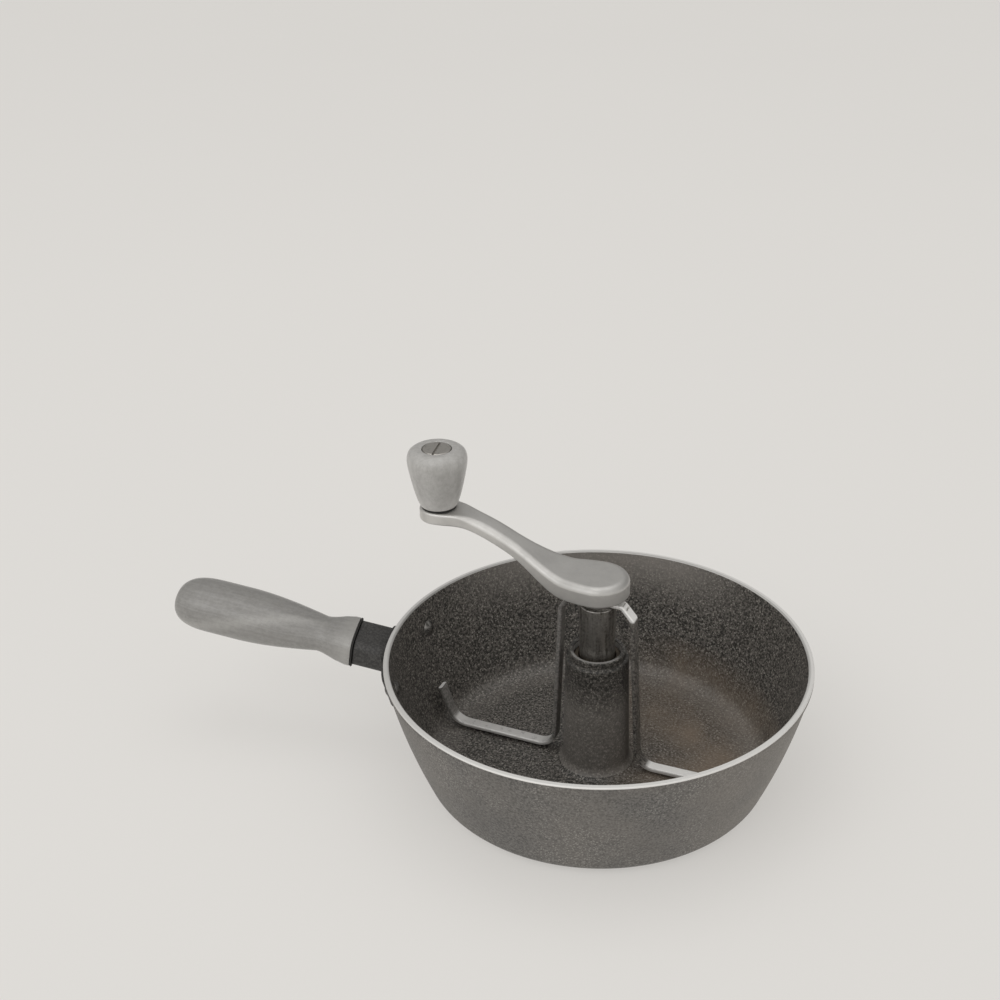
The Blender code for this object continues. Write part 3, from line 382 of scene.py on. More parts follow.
def pan_finish():
    """Speckled enamel, speckled grey paint and turned metal, chosen by the section's zones."""
    look = Finish("pan metal")
    zone = look.add("ShaderNodeAttribute", attribute_name="zone")["Fac"]
    painted = look.span(zone, 1.45, 1.55)
    x, y, z = look.axes()
    radius = (x * x + y * y) ** 0.5
    # The lip shows bare metal at its front only: wear, and a painted highlight where the front light
    # catches it.
    worn = look.span(zone, 0.75, 0.55) * look.span(y, -0.004, -0.010)
    covered = look.span(zone, 0.10, 0.45) * (1 - worn * 0.42)

    grain = look.noise(0.0014, 3.0, 0.75)
    clouds = look.noise(0.030, 2.0)
    drifts = look.span(look.noise(0.045, 3.0), 0.40, 0.62)
    flecks = look.span(look.dots(0.0013), 0.38, 0.26)
    enamel = look.mix(look.span(grain, 0.43, 0.57), ENAMEL_DARK, ENAMEL_HAZE)
    enamel = look.mix(flecks * look.span(grain, 0.46, 0.54) * 0.85, enamel, ENAMEL_FLECK)
    baked = look.span(x * 0.9 + y * 0.2, 0.0, 0.05) * look.span(z, 0.030, 0.010) * (0.25 + drifts * 0.45)
    enamel = look.mix(baked, enamel, ENAMEL_BROWNED)
    swept = look.span(radius, 0.076, 0.086) * look.span(z, 0.015, 0.007) * 0.24
    # Painted light: the far inner wall is paler towards the rim.
    far_wall_painted_light = look.span(y, 0.05, 0.10) * look.span(z, 0.045, 0.070) * look.span(x, 0.080, 0.03) * 0.70
    post = radius < 0.0215
    # Painted light on the post's lower side, and painted shade on its upper side below the lip.
    handled = post * look.span(z, 0.066, 0.045) * 0.46
    enamel = look.mix(swept + far_wall_painted_light + handled, enamel, ENAMEL_WORN_AND_LIT)
    enamel = look.mix(post * look.span(z, 0.045, 0.066) * 0.40, enamel, ENAMEL_DARK)

    specks = look.span(look.dots(0.0014), 0.38, 0.26)
    shade = look.mix(look.span(grain, 0.40, 0.58), PAINT_SHADE, PAINT_GREY)
    paint = look.mix(specks * look.span(clouds, 0.30, 0.65) * 0.75, shade, PAINT_FLECK)
    # Paler in random drifts, and painted light towards the pan's right side.
    fade_and_painted_light = drifts * 0.22 + look.span(x, 0.055, 0.11) * 0.45
    paint = look.mix(fade_and_painted_light, paint, PAINT_FADED_AND_LIT)

    marks = look.rings(radius, 0.00018)
    metal = look.mix(look.span(marks, 0.35, 0.65) * 0.35, BARE_METAL, BARE_SHADE)
    inner = look.span(radius, RIM_INNER + 0.0016, RIM_INNER + 0.0008)
    # Painted shade on the rim's inner edge towards the far side, and on the rim's left.
    oiled = inner * look.span(y, -0.06, 0.02) * look.span(z, 0.070, 0.072) * (0.30 + clouds * 0.35)
    left_rim_painted_shade = look.span(x, -0.05, -0.11) * 0.28
    metal = look.mix(oiled + left_rim_painted_shade, metal, BARE_PAINTED_SHADE)
    colour = look.mix(painted, look.mix(covered, metal, enamel), paint)
    relief = covered * (grain * 0.6 + look.noise(0.0018) * 0.8) + (1 - covered) * marks * 0.25
    return look.done(colour, 0.48 + grain * 0.10, (1 - covered) * 0.45, relief, 0.00006)


TURNING = turning_tree()
fitted(turned(drawn_section(pan_section()), pan_finish(), steps=256, corner_points=8, closed=0), "pan",
    "pan_metal", "pan_body")

# Handle bracket
# An aluminium saddle lies against the wall, and its square neck carries the grip. It is
# cast in one piece, enamelled dark grey, and held by two rivets.
FLANGE_DROP = 0.0050
FLANGE_TOP_Z = PAN_HEIGHT - RIM_DEPTH - FLANGE_DROP
FLANGE_HEIGHT = 0.0190
FLANGE_TIP_HEIGHT = 0.0137
FLANGE_THICKNESS = 0.0042
FLANGE_TIP_THICKNESS = 0.0012
FLANGE_HALF_LENGTH = 0.0405
FLANGE_EDGE = 0.0022
RIVET_HALF_PITCH = 0.0335
RIVET_Z = FLANGE_TOP_Z - FLANGE_HEIGHT / 2
NECK_RISE = 0.0025
NECK_Z = RIVET_Z + NECK_RISE
HANDLE_TILT = radians(8.6)
NECK_WIDTH = 0.0296
NECK_HEIGHT = 0.0166
NECK_LENGTH = 0.0259
NECK_SQUARENESS = 4.0
NECK_FILLET = 0.0022
FRONT_SLANT = 0.11
PLUG_WIDTH = 0.0180
PLUG_HEIGHT = 0.0090
PLUG_LENGTH = 0.0120
OVERRUN = 0.0050              # how far a cutting tool reaches past its cut
BRACKET_DARK = (0.022, 0.021, 0.020)
BRACKET_WORN = (0.070, 0.067, 0.064)


def wall_radius(z, line=OUTER_WALL):
    """The outer wall's radius at a height, or another line's."""
    for (high_r, high_z, *_), (low_r, low_z, *_) in zip(line, line[1:]):
        if low_z <= z <= high_z:
            return low_r + (high_r - low_r) * (z - low_z) / (high_z - low_z)
    raise ValueError("no wall at this height")


def oval(along, half_width, half_height, squareness, slant=0.0, rake=0.0, points=96):
    """A superellipse across the handle, slanted in plan or raked in side view."""
    ring = []
    for i in range(points):
        turn = tau * i / points
        y, z = [half * copysign(abs(share) ** (2 / squareness), share)
            for half, share in ((half_width, cos(turn)), (half_height, sin(turn)))]
        ring.append((along - slant * y + rake * z, y, z))
    return ring


def lofted(rings, hollow=False, caps=None):
    """A closed mesh through rings of as many points each, with its ends capped or joined up."""
    shape = bmesh.new()
    loops = [[shape.verts.new(point) for point in ring] for ring in rings]
    for low, high in zip(loops, loops[1:] + (loops[:1] if hollow else [])):
        for i in range(len(low)):
            shape.faces.new((low[i - 1], low[i], high[i], high[i - 1]))
    for loop in () if hollow else (loops[0], loops[-1]):
        for cap in caps or [range(len(loop))]:
            shape.faces.new([loop[i] for i in cap])
    bmesh.ops.recalc_face_normals(shape, faces=shape.faces)
    mesh = bpy.data.meshes.new("lofted")
    shape.to_mesh(mesh)
    shape.free()
    return mesh


def rod(radius, low, high, points=64, matrix=None):
    """A plain cylinder along Z, for cutting holes."""
    ring = arc(0, 0, radius, 0, tau, points)[:-1]
    mesh = lofted([[(x, y, z) for x, y in ring] for z in (low, high)])
    if matrix:
        mesh.transform(matrix)
    return mesh


def combined(mesh, others, operation="DIFFERENCE"):
    """A mesh cut by, or joined to, others."""
    solid, *tools = [new_object("solid", part) for part in (mesh, *others)]
    for tool in tools:
        cut = solid.modifiers.new("cut", "BOOLEAN")
        cut.operation = operation
        cut.solver = "EXACT"
        cut.object = tool
    return plain_mesh(solid, *tools)


def eased_section(thickness, half, edge):
    """(out from the wall, z) points round the saddle, with its outer edges rounded."""
    points = [(0, RIVET_Z - half), (0, RIVET_Z), (0, RIVET_Z + half)]
    for centre_z, start in ((half - edge, pi / 2), (edge - half, 0)):
        points += arc(thickness - edge, RIVET_Z + centre_z, edge, start, start - pi / 2, 6)
    return points


def saddle_ring(share):
    """The saddle's section at a share (-1 to 1) of its half length."""
    angle = pi + share * FLANGE_HALF_LENGTH / wall_radius(RIVET_Z)
    fullness = sqrt(1 - abs(share) ** 4)
    thickness = FLANGE_TIP_THICKNESS + (FLANGE_THICKNESS - FLANGE_TIP_THICKNESS) * fullness
    half = (FLANGE_TIP_HEIGHT + (FLANGE_HEIGHT - FLANGE_TIP_HEIGHT) * fullness) / 2
    ring = []
    for out, z in eased_section(thickness, half, min(FLANGE_EDGE, thickness * 0.45)):
        radius = wall_radius(z) + GAP + out
        ring.append((radius * cos(angle), radius * sin(angle), z))
    return ring


def bracket_finish():
    """Dark enamel over a sand cast skin, rubbed a little lighter in places."""
    look = Finish("bracket enamel")
    grain = look.noise(0.0014, 3.0, 0.75)
    rubbed = look.span(look.noise(0.012, 3.0), 0.50, 0.72) * look.span(grain, 0.40, 0.66)
    colour = look.mix(look.span(grain, 0.45, 0.58) * 0.7 + rubbed * 0.4, BRACKET_DARK, BRACKET_WORN)
    relief = grain * 0.7 + look.noise(0.0025) * 0.6
    return look.done(colour, 0.46 + grain * 0.14, 0.0, relief, 0.00008)


def plug_ring(along, clearance=0.0, slant=0.0):
    """The section of the bracket's plug, or of a hole for it."""
    return oval(along, PLUG_WIDTH / 2 + clearance, PLUG_HEIGHT / 2 + clearance, NECK_SQUARENESS, slant)


handle_matrix = (Matrix.Translation((-wall_radius(NECK_Z), 0, NECK_Z))
    @ Euler((0, -HANDLE_TILT, pi)).to_matrix().to_4x4())
wall_lean = atan((wall_radius(RIVET_Z + GAP) - wall_radius(RIVET_Z - GAP)) / (2 * GAP))
root_rake = tan(HANDLE_TILT + wall_lean)
neck_rings = [oval(0.0018, NECK_WIDTH / 2 + 0.0012, NECK_HEIGHT / 2 + 0.0006, NECK_SQUARENESS,
    rake=root_rake)]
for i in range(9):
    swing = radians(11.25 * i)
    flare = NECK_FILLET * (1 - sin(swing))
    out = 0.0048 + NECK_FILLET * (1 - cos(swing)) * 1.6
    neck_rings.append(oval(out, NECK_WIDTH / 2 + flare, NECK_HEIGHT / 2 + flare * 0.4, NECK_SQUARENESS,
        rake=root_rake * (1 - i / 8)))
neck_rings += [oval(NECK_LENGTH - back, NECK_WIDTH / 2 - inset, NECK_HEIGHT / 2 - inset, NECK_SQUARENESS,
    slant=FRONT_SLANT) for back, inset in ((0.0006, 0), (0.0002, 0.0001), (0, 0.0004))]
neck = lofted(neck_rings)
plug = lofted([plug_ring(along) for along in (NECK_LENGTH - OVERRUN, NECK_LENGTH + PLUG_LENGTH)])
for mesh in (neck, plug):
    mesh.transform(handle_matrix)
saddle = lofted([saddle_ring(i / 48) for i in range(-48, 49)])

RIVET_RADIUS = 0.0022
RIVET_HEAD_RADIUS = 0.0046
RIVET_HEAD_HEIGHT = 0.0021
RIVET_POCKET_DEPTH = 0.0026
RIVET_POCKET_MARGIN = 0.0006
POCKET_FLOOR = (GAP + FLANGE_THICKNESS) * cos(wall_lean) - RIVET_POCKET_DEPTH


def rivet_angle(side):
    """Where a rivet stands round the pan."""
    return pi + side * RIVET_HALF_PITCH / wall_radius(RIVET_Z)


def rivet_matrix(side):
    """Where a rivet stands on the wall: its Z points out, square to the wall."""
    angle = rivet_angle(side)
    radius = wall_radius(RIVET_Z)
    place = Matrix.Translation((radius * cos(angle), radius * sin(angle), RIVET_Z))
    return place @ Euler((0, pi / 2 + wall_lean, angle)).to_matrix().to_4x4()


pockets = [rod(RIVET_HEAD_RADIUS + RIVET_POCKET_MARGIN, POCKET_FLOOR, POCKET_FLOOR + 2 * OVERRUN,
    matrix=rivet_matrix(side)) for side in (1, -1)]
fitted(combined(combined(saddle, [neck, plug], "UNION"), pockets), "pan", "bracket_enamel",
    "handle_bracket", material=bracket_finish())

# Rivets
# Two soft aluminium rivets clamp the saddle to the wall. Their heads are domed, one in
# the pan and one in the saddle's pocket.
WALL_DEPTH = (wall_radius(RIVET_Z) - wall_radius(RIVET_Z, INNER_WALL)) * cos(wall_lean)
RIVET_DARK = (0.07, 0.068, 0.064)
RIVET_RUBBED = (0.30, 0.29, 0.275)


def rivet_tree():
    """Turned rivets, one standing on each drawn point with its turn."""
    nodes, given = new_tree("rivets", floats=("Tilt",), objects=("Section",))
    section = nodes.add("GeometryNodeObjectInfo", {"Object": given["Section"]})["Geometry"]
    facing = nodes.point(Y=given["Tilt"], Z=nodes.stored("turn"))
    rotation = nodes.add("FunctionNodeEulerToRotation", {"Euler": facing})
    placed = nodes.add("GeometryNodeInstanceOnPoints",
        {"Points": given["Mesh"], "Instance": section, "Rotation": rotation})
    return end_tree(nodes, placed, given)


def aluminium_finish():
    """Soft hammered aluminium with fine scratches."""
    look = Finish("rivet aluminium")
    grain = look.noise(0.0006, 3.0, 0.6)
    dents = look.noise(0.0022, 1.0)
    colour = look.mix(look.span(grain * 0.5 + dents * 0.5, 0.4, 0.6), RIVET_DARK, RIVET_RUBBED)
    return look.done(colour, 0.34 + grain * 0.16, 1.0, grain * 0.3 + dents, 0.00008)


def rivet_section():
    """Both domed heads and the shank between them."""
    dome = (RIVET_HEAD_RADIUS ** 2 + RIVET_HEAD_HEIGHT ** 2) / (2 * RIVET_HEAD_HEIGHT)
    edge = asin(RIVET_HEAD_RADIUS / dome)
    cap = arc(0, RIVET_HEAD_HEIGHT - dome, dome, pi / 2, pi / 2 - edge, 10)
    head_out = POCKET_FLOOR + GAP
    top = [(x, z + head_out) for x, z in cap]
    head_in = -WALL_DEPTH - GAP / 3
    foot = [(x, head_in - z) for x, z in reversed(cap)]
    return top + [(RIVET_RADIUS, head_out), (RIVET_RADIUS, head_in)] + foot


rivet_metal = aluminium_finish()
rivet_turned = new_object("rivet_turned", turned(drawn_section(rivet_section()), rivet_metal, steps=64,
    corner_points=1, closed=0))
seats = bpy.data.meshes.new("rivet seats")
seats.from_pydata([rivet_matrix(side).to_translation() for side in (1, -1)], [], [])
seats.attributes.new("turn", "FLOAT", "POINT").data.foreach_set("value",
    [rivet_angle(1), rivet_angle(-1)])
rivets = grown(seats, rivet_tree(), rivet_metal, {"Section": rivet_turned, "Tilt": pi / 2 + wall_lean})
bpy.data.objects.remove(rivet_turned)
fitted(rivets, "pan", "rivet_aluminium", "bracket_rivet_front", "bracket_rivet_rear",
    name="bracket_rivets", crease=40)

# Grip gasket
# A hard black fibre plate keeps the hot bracket off the wood. It is stamped from sheet,
# with flat faces, a straight edge and a hole for the bracket's plug.
GASKET_THICKNESS = 0.0008
GASKET_INSET = 0.0003
SOCKET_CLEARANCE = 0.0004
COLLAR_MARGIN = 0.0016
COLLAR_HALF_WIDTH = NECK_WIDTH / 2 + COLLAR_MARGIN
COLLAR_HALF_HEIGHT = NECK_HEIGHT / 2 + COLLAR_MARGIN
GASKET_EDGE = 0.00015
FIBRE_BLACK = (0.016, 0.015, 0.014)
FIBRE_THREAD = (0.050, 0.047, 0.043)


def fibre_finish():
    """Pressed black fibre with a few paler threads."""
    look = Finish("black fibre")
    grain = look.noise(0.0005, 3.0, 0.6)
    threads = look.span(look.noise(0.0030, 2.0, place=look.along((0, 0, 0), stretch=(8, 1, 1))), 0.6,
        0.75)
    colour = look.mix(threads * 0.5, FIBRE_BLACK, FIBRE_THREAD)
    return look.done(colour, 0.62 + grain * 0.2, 0.0, grain, 0.00004)


FIBRE = fibre_finish()
gasket_foot = NECK_LENGTH + GAP
gasket_top = gasket_foot + GASKET_THICKNESS
gasket_rings = [oval(along, COLLAR_HALF_WIDTH - inset, COLLAR_HALF_HEIGHT - inset, NECK_SQUARENESS,
    slant=FRONT_SLANT) for along, inset in ((gasket_foot, GASKET_INSET + GASKET_EDGE),
    (gasket_foot + GASKET_EDGE, GASKET_INSET), (gasket_top - GASKET_EDGE, GASKET_INSET),
    (gasket_top, GASKET_INSET + GASKET_EDGE))]
gasket_rings += [plug_ring(along, SOCKET_CLEARANCE, FRONT_SLANT) for along in (gasket_top, gasket_foot)]
fitted(lofted(gasket_rings, hollow=True), "pan", "black_fibre", "grip_gasket", material=FIBRE,
    matrix=handle_matrix)

# Grip
# The wooden grip is shaped from one beech blank, with a collar, a waist and a swell,
# sanded, stained and lacquered. Its end is bored for the bolt that holds it.
GRIP_LENGTH = 0.1090
GRIP_EDGE = 0.0005
GRIP_COLLAR = 0.0020
GRIP_WAIST_AT = 0.0203
GRIP_WAIST_WIDTH = 0.0249
GRIP_WAIST_HEIGHT = 0.0177
GRIP_SWELL_AT = 0.0700
GRIP_SWELL_WIDTH = 0.0352
GRIP_SWELL_HEIGHT = 0.0282
GRIP_NOSE = 0.0245
NOSE_BLUNTNESS = 0.92
GRIP_FRONT = gasket_top + GAP
GRIP_END = GRIP_FRONT + GRIP_LENGTH
BOLT_RADIUS = 0.0025
BOLT_HEAD_RADIUS = 0.0042
BOLT_RECESS = 0.0100
RECESS_MARGIN = 0.0012
WOOD_PALE = (0.272, 0.266, 0.254)
WOOD_MID = (0.222, 0.216, 0.206)
WOOD_DARK = (0.118, 0.113, 0.105)


def ease(t):
    """0 to 1 with level ends, held beyond."""
    t = min(max(t, 0.0), 1.0)
    return t * t * (3 - 2 * t)


def grip_ring(x, inset=0.0, lift=0.0):
    """The grip's section at a distance behind its front: collar, waist, swell, round end."""
    to_waist = ease((x - GRIP_COLLAR) / (GRIP_WAIST_AT - GRIP_COLLAR))
    past_waist = (x - GRIP_WAIST_AT) / (GRIP_SWELL_AT - GRIP_WAIST_AT)
    to_swell = sin(pi / 2 * min(max(past_waist, 0.0), 1.0))
    into_nose = max(0.0, 1 - (GRIP_LENGTH - x) / GRIP_NOSE)
    nose = (1 - (NOSE_BLUNTNESS * into_nose) ** 3) ** 0.4
    halves = []
    for collar, waist, swell in ((COLLAR_HALF_WIDTH, GRIP_WAIST_WIDTH / 2, GRIP_SWELL_WIDTH / 2),
            (COLLAR_HALF_HEIGHT, GRIP_WAIST_HEIGHT / 2, GRIP_SWELL_HEIGHT / 2)):
        half = collar + (waist - collar) * to_waist + (swell - waist) * to_swell
        halves.append(half * nose - inset)
    return oval(GRIP_FRONT + x + lift, *halves, 3.4 - 1.2 * to_waist, slant=FRONT_SLANT * (1 - to_waist))


def wood_finish(name, matrix, length_axis, pale, mid, dark, collar=0.0):
    """Lacquered fine grained wood whose fibres run along one axis of a piece's own frame."""
    look = Finish(name)
    stretch = [0.0011, 0.0011, 0.0011]
    stretch[length_axis] = 0.010
    lying = (matrix.to_translation(), matrix.to_euler())
    fibres = look.noise(1.0, 3.0, 0.62, place=look.along(*lying, stretch))
    pores = look.noise(1.0, 1.0, place=look.along(*lying, [size * 0.32 for size in stretch]))
    own = look.along(*lying)
    bend = look.noise(0.045, 2.0, place=own)
    x, y, z = look.axes(own)
    across, up = ((y, z), (x, z), (x, y))[length_axis]
    heart = ((across - 0.034) ** 2 + (up + 0.047) ** 2) ** 0.5 + bend * 0.006
    flames = look.noise(0.0030, 5.0, 0.70, place=own)
    rings = look.rings(heart, 0.0016, 1.0)
    pattern = look.span(fibres * 0.16 + flames * 0.62 + rings * 0.22, 0.41, 0.59)
    colour = look.mix(pattern, mid, pale)
    # Paler towards the collar end (the knob's foot), and on the grip a painted highlight along a line
    # that winds round the swell.
    rubbed = look.span((x, y, z)[length_axis], collar + 0.012, collar)
    if collar:
        past = x - collar
        painted_highlight_offset = look.maths("ABSOLUTE", look.maths("ARCTAN2", z, y) - (1.64 - past * 20.9))
        rubbed = rubbed + look.span(painted_highlight_offset, 0.34, 0.04) * look.span(past, 0.014, 0.034) * (0.5 + flames)
    colour = look.mix(rubbed * 0.5, colour, tuple(value * 1.5 for value in pale))
    colour = look.mix(look.span(pores, 0.60, 0.72) * 0.30, colour, dark)
    worn = look.noise(0.018, 2.0, place=own)
    relief = fibres * 0.5 - look.span(pores, 0.58, 0.74) * 0.5
    return look.done(colour, 0.36 + worn * 0.14 + fibres * 0.05, 0.0, relief, 0.00005,
        Coat_Weight=0.35 + worn * 0.30, Coat_Roughness=0.22)


grip_places = [GRIP_LENGTH - GRIP_NOSE - i * 0.0014 for i in range(55)][::-1]
grip_places += [GRIP_LENGTH - GRIP_NOSE * (1 - sin(pi / 2 * i / 26)) for i in range(1, 27)]
grip_rings = [grip_ring(*place) for place in ((0, GRIP_EDGE), (0.00015, GRIP_EDGE * 0.3), (GRIP_EDGE,),
    (0.0015,), (0.0030,), *((x,) for x in grip_places if x > 0.0040), (GRIP_LENGTH, 0.0004, 0.0002),
    (GRIP_LENGTH, 0.0012, 0.0004), (GRIP_LENGTH, 0.0024, 0.0005))]
bolt_matrix = Matrix.Rotation(pi / 2, 4, "Y")
socket = lofted([plug_ring(along, SOCKET_CLEARANCE)
    for along in (NECK_LENGTH - OVERRUN, NECK_LENGTH + PLUG_LENGTH + GAP)])
grip_mesh = combined(lofted(grip_rings), [socket,
    rod(BOLT_RADIUS + GAP, NECK_LENGTH, GRIP_END, matrix=bolt_matrix),
    rod(BOLT_HEAD_RADIUS + RECESS_MARGIN, GRIP_END - BOLT_RECESS, GRIP_END + OVERRUN,
    matrix=bolt_matrix)])
grip_wood = wood_finish("grip wood", handle_matrix, 0, WOOD_PALE, WOOD_MID, WOOD_DARK,
    collar=NECK_LENGTH + GRIP_COLLAR)
fitted(grip_mesh, "pan", "grip_wood", "handle_grip", material=grip_wood, crease=35, matrix=handle_matrix)

# Grip bolt and its washer
# A slotted zinc plated bolt runs the length of the grip into the bracket's plug. It is
# turned from bar, and its head sits on a stamped washer at the bottom of the recess.
BOLT_HEAD_HEIGHT = 0.0032
BOLT_BITE = 0.0200
WASHER_THICKNESS = 0.0010
WASHER_MARGIN = 0.0006
ZINC_BRIGHT = (0.56, 0.55, 0.54)
ZINC_DULL = (0.30, 0.29, 0.28)
DRIVER_SLOT_WIDTH = 0.0011
DRIVER_SLOT_DEPTH = 0.0011
WASHER_FOOT = GRIP_END - BOLT_RECESS + GAP
BOLT_HEAD_FOOT = WASHER_FOOT + WASHER_THICKNESS + GAP
BOLT_HEAD_TOP = BOLT_HEAD_FOOT + BOLT_HEAD_HEIGHT
BOLT_FOOT = NECK_LENGTH + PLUG_LENGTH - BOLT_BITE


def slotted_tree():
    """A turned section with a driver's slot cut across one of its ends."""
    nodes, given = new_tree("slotted screw", ints=("Steps", "Corner points"),
        floats=("Slot width", "Slot length", "Slot depth", "Slot z", "Slot turn"))
    body = nodes.add("GeometryNodeGroup", {"Mesh": given["Mesh"], "Steps": given["Steps"],
        "Corner points": given["Corner points"], "Closed": 0, "Material": given["Material"]},
        node_tree=TURNING)
    size = nodes.point(X=given["Slot width"], Y=given["Slot length"], Z=given["Slot depth"] * 2)
    cutter = nodes.add("GeometryNodeMeshCube", {"Size": size})
    moved = nodes.add("GeometryNodeTransform",
        {"Geometry": cutter, "Translation": nodes.point(Z=given["Slot z"]),
        "Rotation": nodes.point(Z=given["Slot turn"])})
    cut = nodes.add("GeometryNodeMeshBoolean", {"Mesh 1": body, "Mesh 2": moved}, operation="DIFFERENCE",
        solver="EXACT")
    return end_tree(nodes, cut, given)


def metal_finish(name, bright, dull, grain, marks, blotches, share, roughness, relief, metallic=1.0,
        centre=(0, 0, 0), tooth=0.6):
    """Turned metal with a fine grain, rings of tool marks and duller blotches.

    blotches is (size, low, high), share (of blotches, of grain), roughness (plain, added by
    blotches, added by grain) and relief (of marks, of grain).
    """
    look = Finish(name)
    grain = look.noise(grain, 3.0, tooth)
    marks = look.rings(look.from_axis(look.along(centre)), marks)
    size, low, high = blotches
    blotch = look.span(look.noise(size, 3.0), low, high)
    colour = look.mix(blotch * share[0] + grain * share[1], bright, dull)
    rough = roughness[0] + blotch * roughness[1] + grain * roughness[2]
    return look.done(colour, rough, metallic, marks * relief[0] + grain * relief[1], 0.00003)


def ring_section(inner, outer, foot, top, ease_by=0.0002):
    """A washer's closed section with slightly eased edges."""
    return drawn_section([(inner, top, ease_by), (outer, top, ease_by), (outer, foot, ease_by),
        (inner, foot, ease_by)], closed=True)


def screw(points, material, head_radius, slot_z, steps=64, slot_width=DRIVER_SLOT_WIDTH,
        slot_depth=DRIVER_SLOT_DEPTH, slot_turn=0.0):
    """A turned screw with its driver's slot."""
    return grown(drawn_section(points), SLOTTED, material,
        {"Steps": steps, "Corner points": 5, "Slot width": slot_width, "Slot length": 4 * head_radius,
        "Slot depth": slot_depth, "Slot z": slot_z, "Slot turn": slot_turn})


SLOTTED = slotted_tree()
ZINC = metal_finish("zinc plated steel", ZINC_BRIGHT, ZINC_DULL, grain=0.0005, marks=0.00025,
    blotches=(0.0035, 0.42, 0.70), share=(0.7, 0), roughness=(0.26, 0.12, 0.16), relief=(0.6, 0.4))
bolt_points = [(0, BOLT_HEAD_TOP), (0.0020, BOLT_HEAD_TOP - 0.0001, 0.001),
    (BOLT_HEAD_RADIUS, BOLT_HEAD_TOP - 0.0004, 0.0006), (BOLT_HEAD_RADIUS, BOLT_HEAD_FOOT, 0.0002),
    (BOLT_RADIUS, BOLT_HEAD_FOOT, 0.0002), (BOLT_RADIUS, BOLT_FOOT, 0.0004), (0, BOLT_FOOT)]
fitted(screw(bolt_points, ZINC, BOLT_HEAD_RADIUS, BOLT_HEAD_TOP), "pan", "zinc_steel", "handle_bolt",
    matrix=handle_matrix @ bolt_matrix)
washer_ring = ring_section(BOLT_RADIUS + GAP, BOLT_HEAD_RADIUS + WASHER_MARGIN, WASHER_FOOT,
    WASHER_FOOT + WASHER_THICKNESS)
fitted(turned(washer_ring, ZINC, steps=64, corner_points=3), "pan", "zinc_steel", "handle_bolt_washer",
    matrix=handle_matrix @ bolt_matrix)

# Thrust washer
# A flat bronze washer lies at the bottom of the post and carries the stem's foot. It is
# cut from sheet, and oil has darkened it.
BRONZE_BRIGHT = (0.130, 0.108, 0.084)
BRONZE_DARK = (0.050, 0.042, 0.033)


def shown(node, slot, material):
    """A CAD node that shows as it is, in its own finish."""
    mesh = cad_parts[node].data
    mesh.materials.clear()
    mesh.materials.append(material)


BRONZE = metal_finish("oiled bronze", BRONZE_BRIGHT, BRONZE_DARK, grain=0.0006, marks=0.0004,
    blotches=(0.006, 0.38, 0.66), share=(0.7, 0.3), roughness=(0.34, 0, 0.20), relief=(0.4, 0.6),
    metallic=0.9, tooth=0.65)
shown("thrust_washer", "bronze", BRONZE)

# Bearing bush
# A bronze bush carries the stem in the post and lifts out with it. It is turned from
# bar, and its upper end shows as a thin ring round the stem.
BUSH_ROUND = 0.0008
bush_inner = STEM_RADIUS + SLIP
bush_outer = POST_BORE_RADIUS - SLIP
bush_section = drawn_section([(bush_inner, BUSH_TOP_Z, BUSH_ROUND), (bush_outer, BUSH_TOP_Z, BUSH_ROUND),
    (bush_outer, BUSH_FOOT_Z, BUSH_ROUND), (bush_inner, BUSH_FOOT_Z, 0.0003)], closed=True)
fitted(turned(bush_section, BRONZE), "bearing", "bronze", "bearing_bush")

# Stem
# A round steel stem joins the crank to the stirrer. It is turned from bar, grooved for
# its clip and bored for the screw, and heat and cooking oil have browned it in streaks.
STEM_SHOWN = 0.0300
STEM_STEP = 0.0020
STEM_LAND = 0.0022
STEM_ROUND = 0.0006
CLIP_THICKNESS = 0.0010
CLIP_GROOVE_DEPTH = 0.0014
THRUST_THICKNESS = 0.0014
TIE_RADIUS = 0.0020
TIE_HOLE = TIE_RADIUS + GAP
TIE_HEAD_RADIUS = 0.0038
TIE_HEAD_HEIGHT = 0.0032
TIE_HEAD_SINK = 0.0015
DOWEL_RADIUS = 0.0012
DOWEL_BITE = 0.0045
SPACER_THICKNESS = 0.0035
STRIP_THICKNESS = 0.0025
CRANK_ANGLE = radians(170.6)
STEM_TOP_Z = LIP_Z + STEM_SHOWN
STRIP_Z = STEM_TOP_Z + GAP + STRIP_THICKNESS / 2
SPACER_FOOT_Z = STRIP_Z + STRIP_THICKNESS / 2 + GAP
HUB_FOOT_Z = SPACER_FOOT_Z + SPACER_THICKNESS + GAP
STEP_Z = BUSH_FOOT_Z - GAP
GROOVE_FOOT_Z = STEP_Z - CLIP_THICKNESS - 2 * GAP
LAND_FOOT_Z = GROOVE_FOOT_Z - STEM_LAND
STEM_FOOT_Z = BORE_FLOOR + GAP + THRUST_THICKNESS + GAP
TIE_HEAD_FOOT = STEM_FOOT_Z + TIE_HEAD_SINK
TIE_HEAD_TOP = TIE_HEAD_FOOT + TIE_HEAD_HEIGHT
TIE_SEAT = TIE_HEAD_TOP + GAP + WASHER_THICKNESS + GAP
STEEL_BRIGHT = (0.62, 0.60, 0.57)
STEEL_BROWNED = (0.150, 0.138, 0.124)

crank_matrix = Matrix.Rotation(CRANK_ANGLE, 4, "Z")
dowel_offset = (TIE_HOLE + STEM_RADIUS) / 2
dowel_hole = rod(DOWEL_RADIUS + GAP, STEM_TOP_Z - DOWEL_BITE - GAP, HUB_FOOT_Z + DOWEL_BITE + GAP,
    points=32, matrix=Matrix.Translation((dowel_offset, 0, 0)))


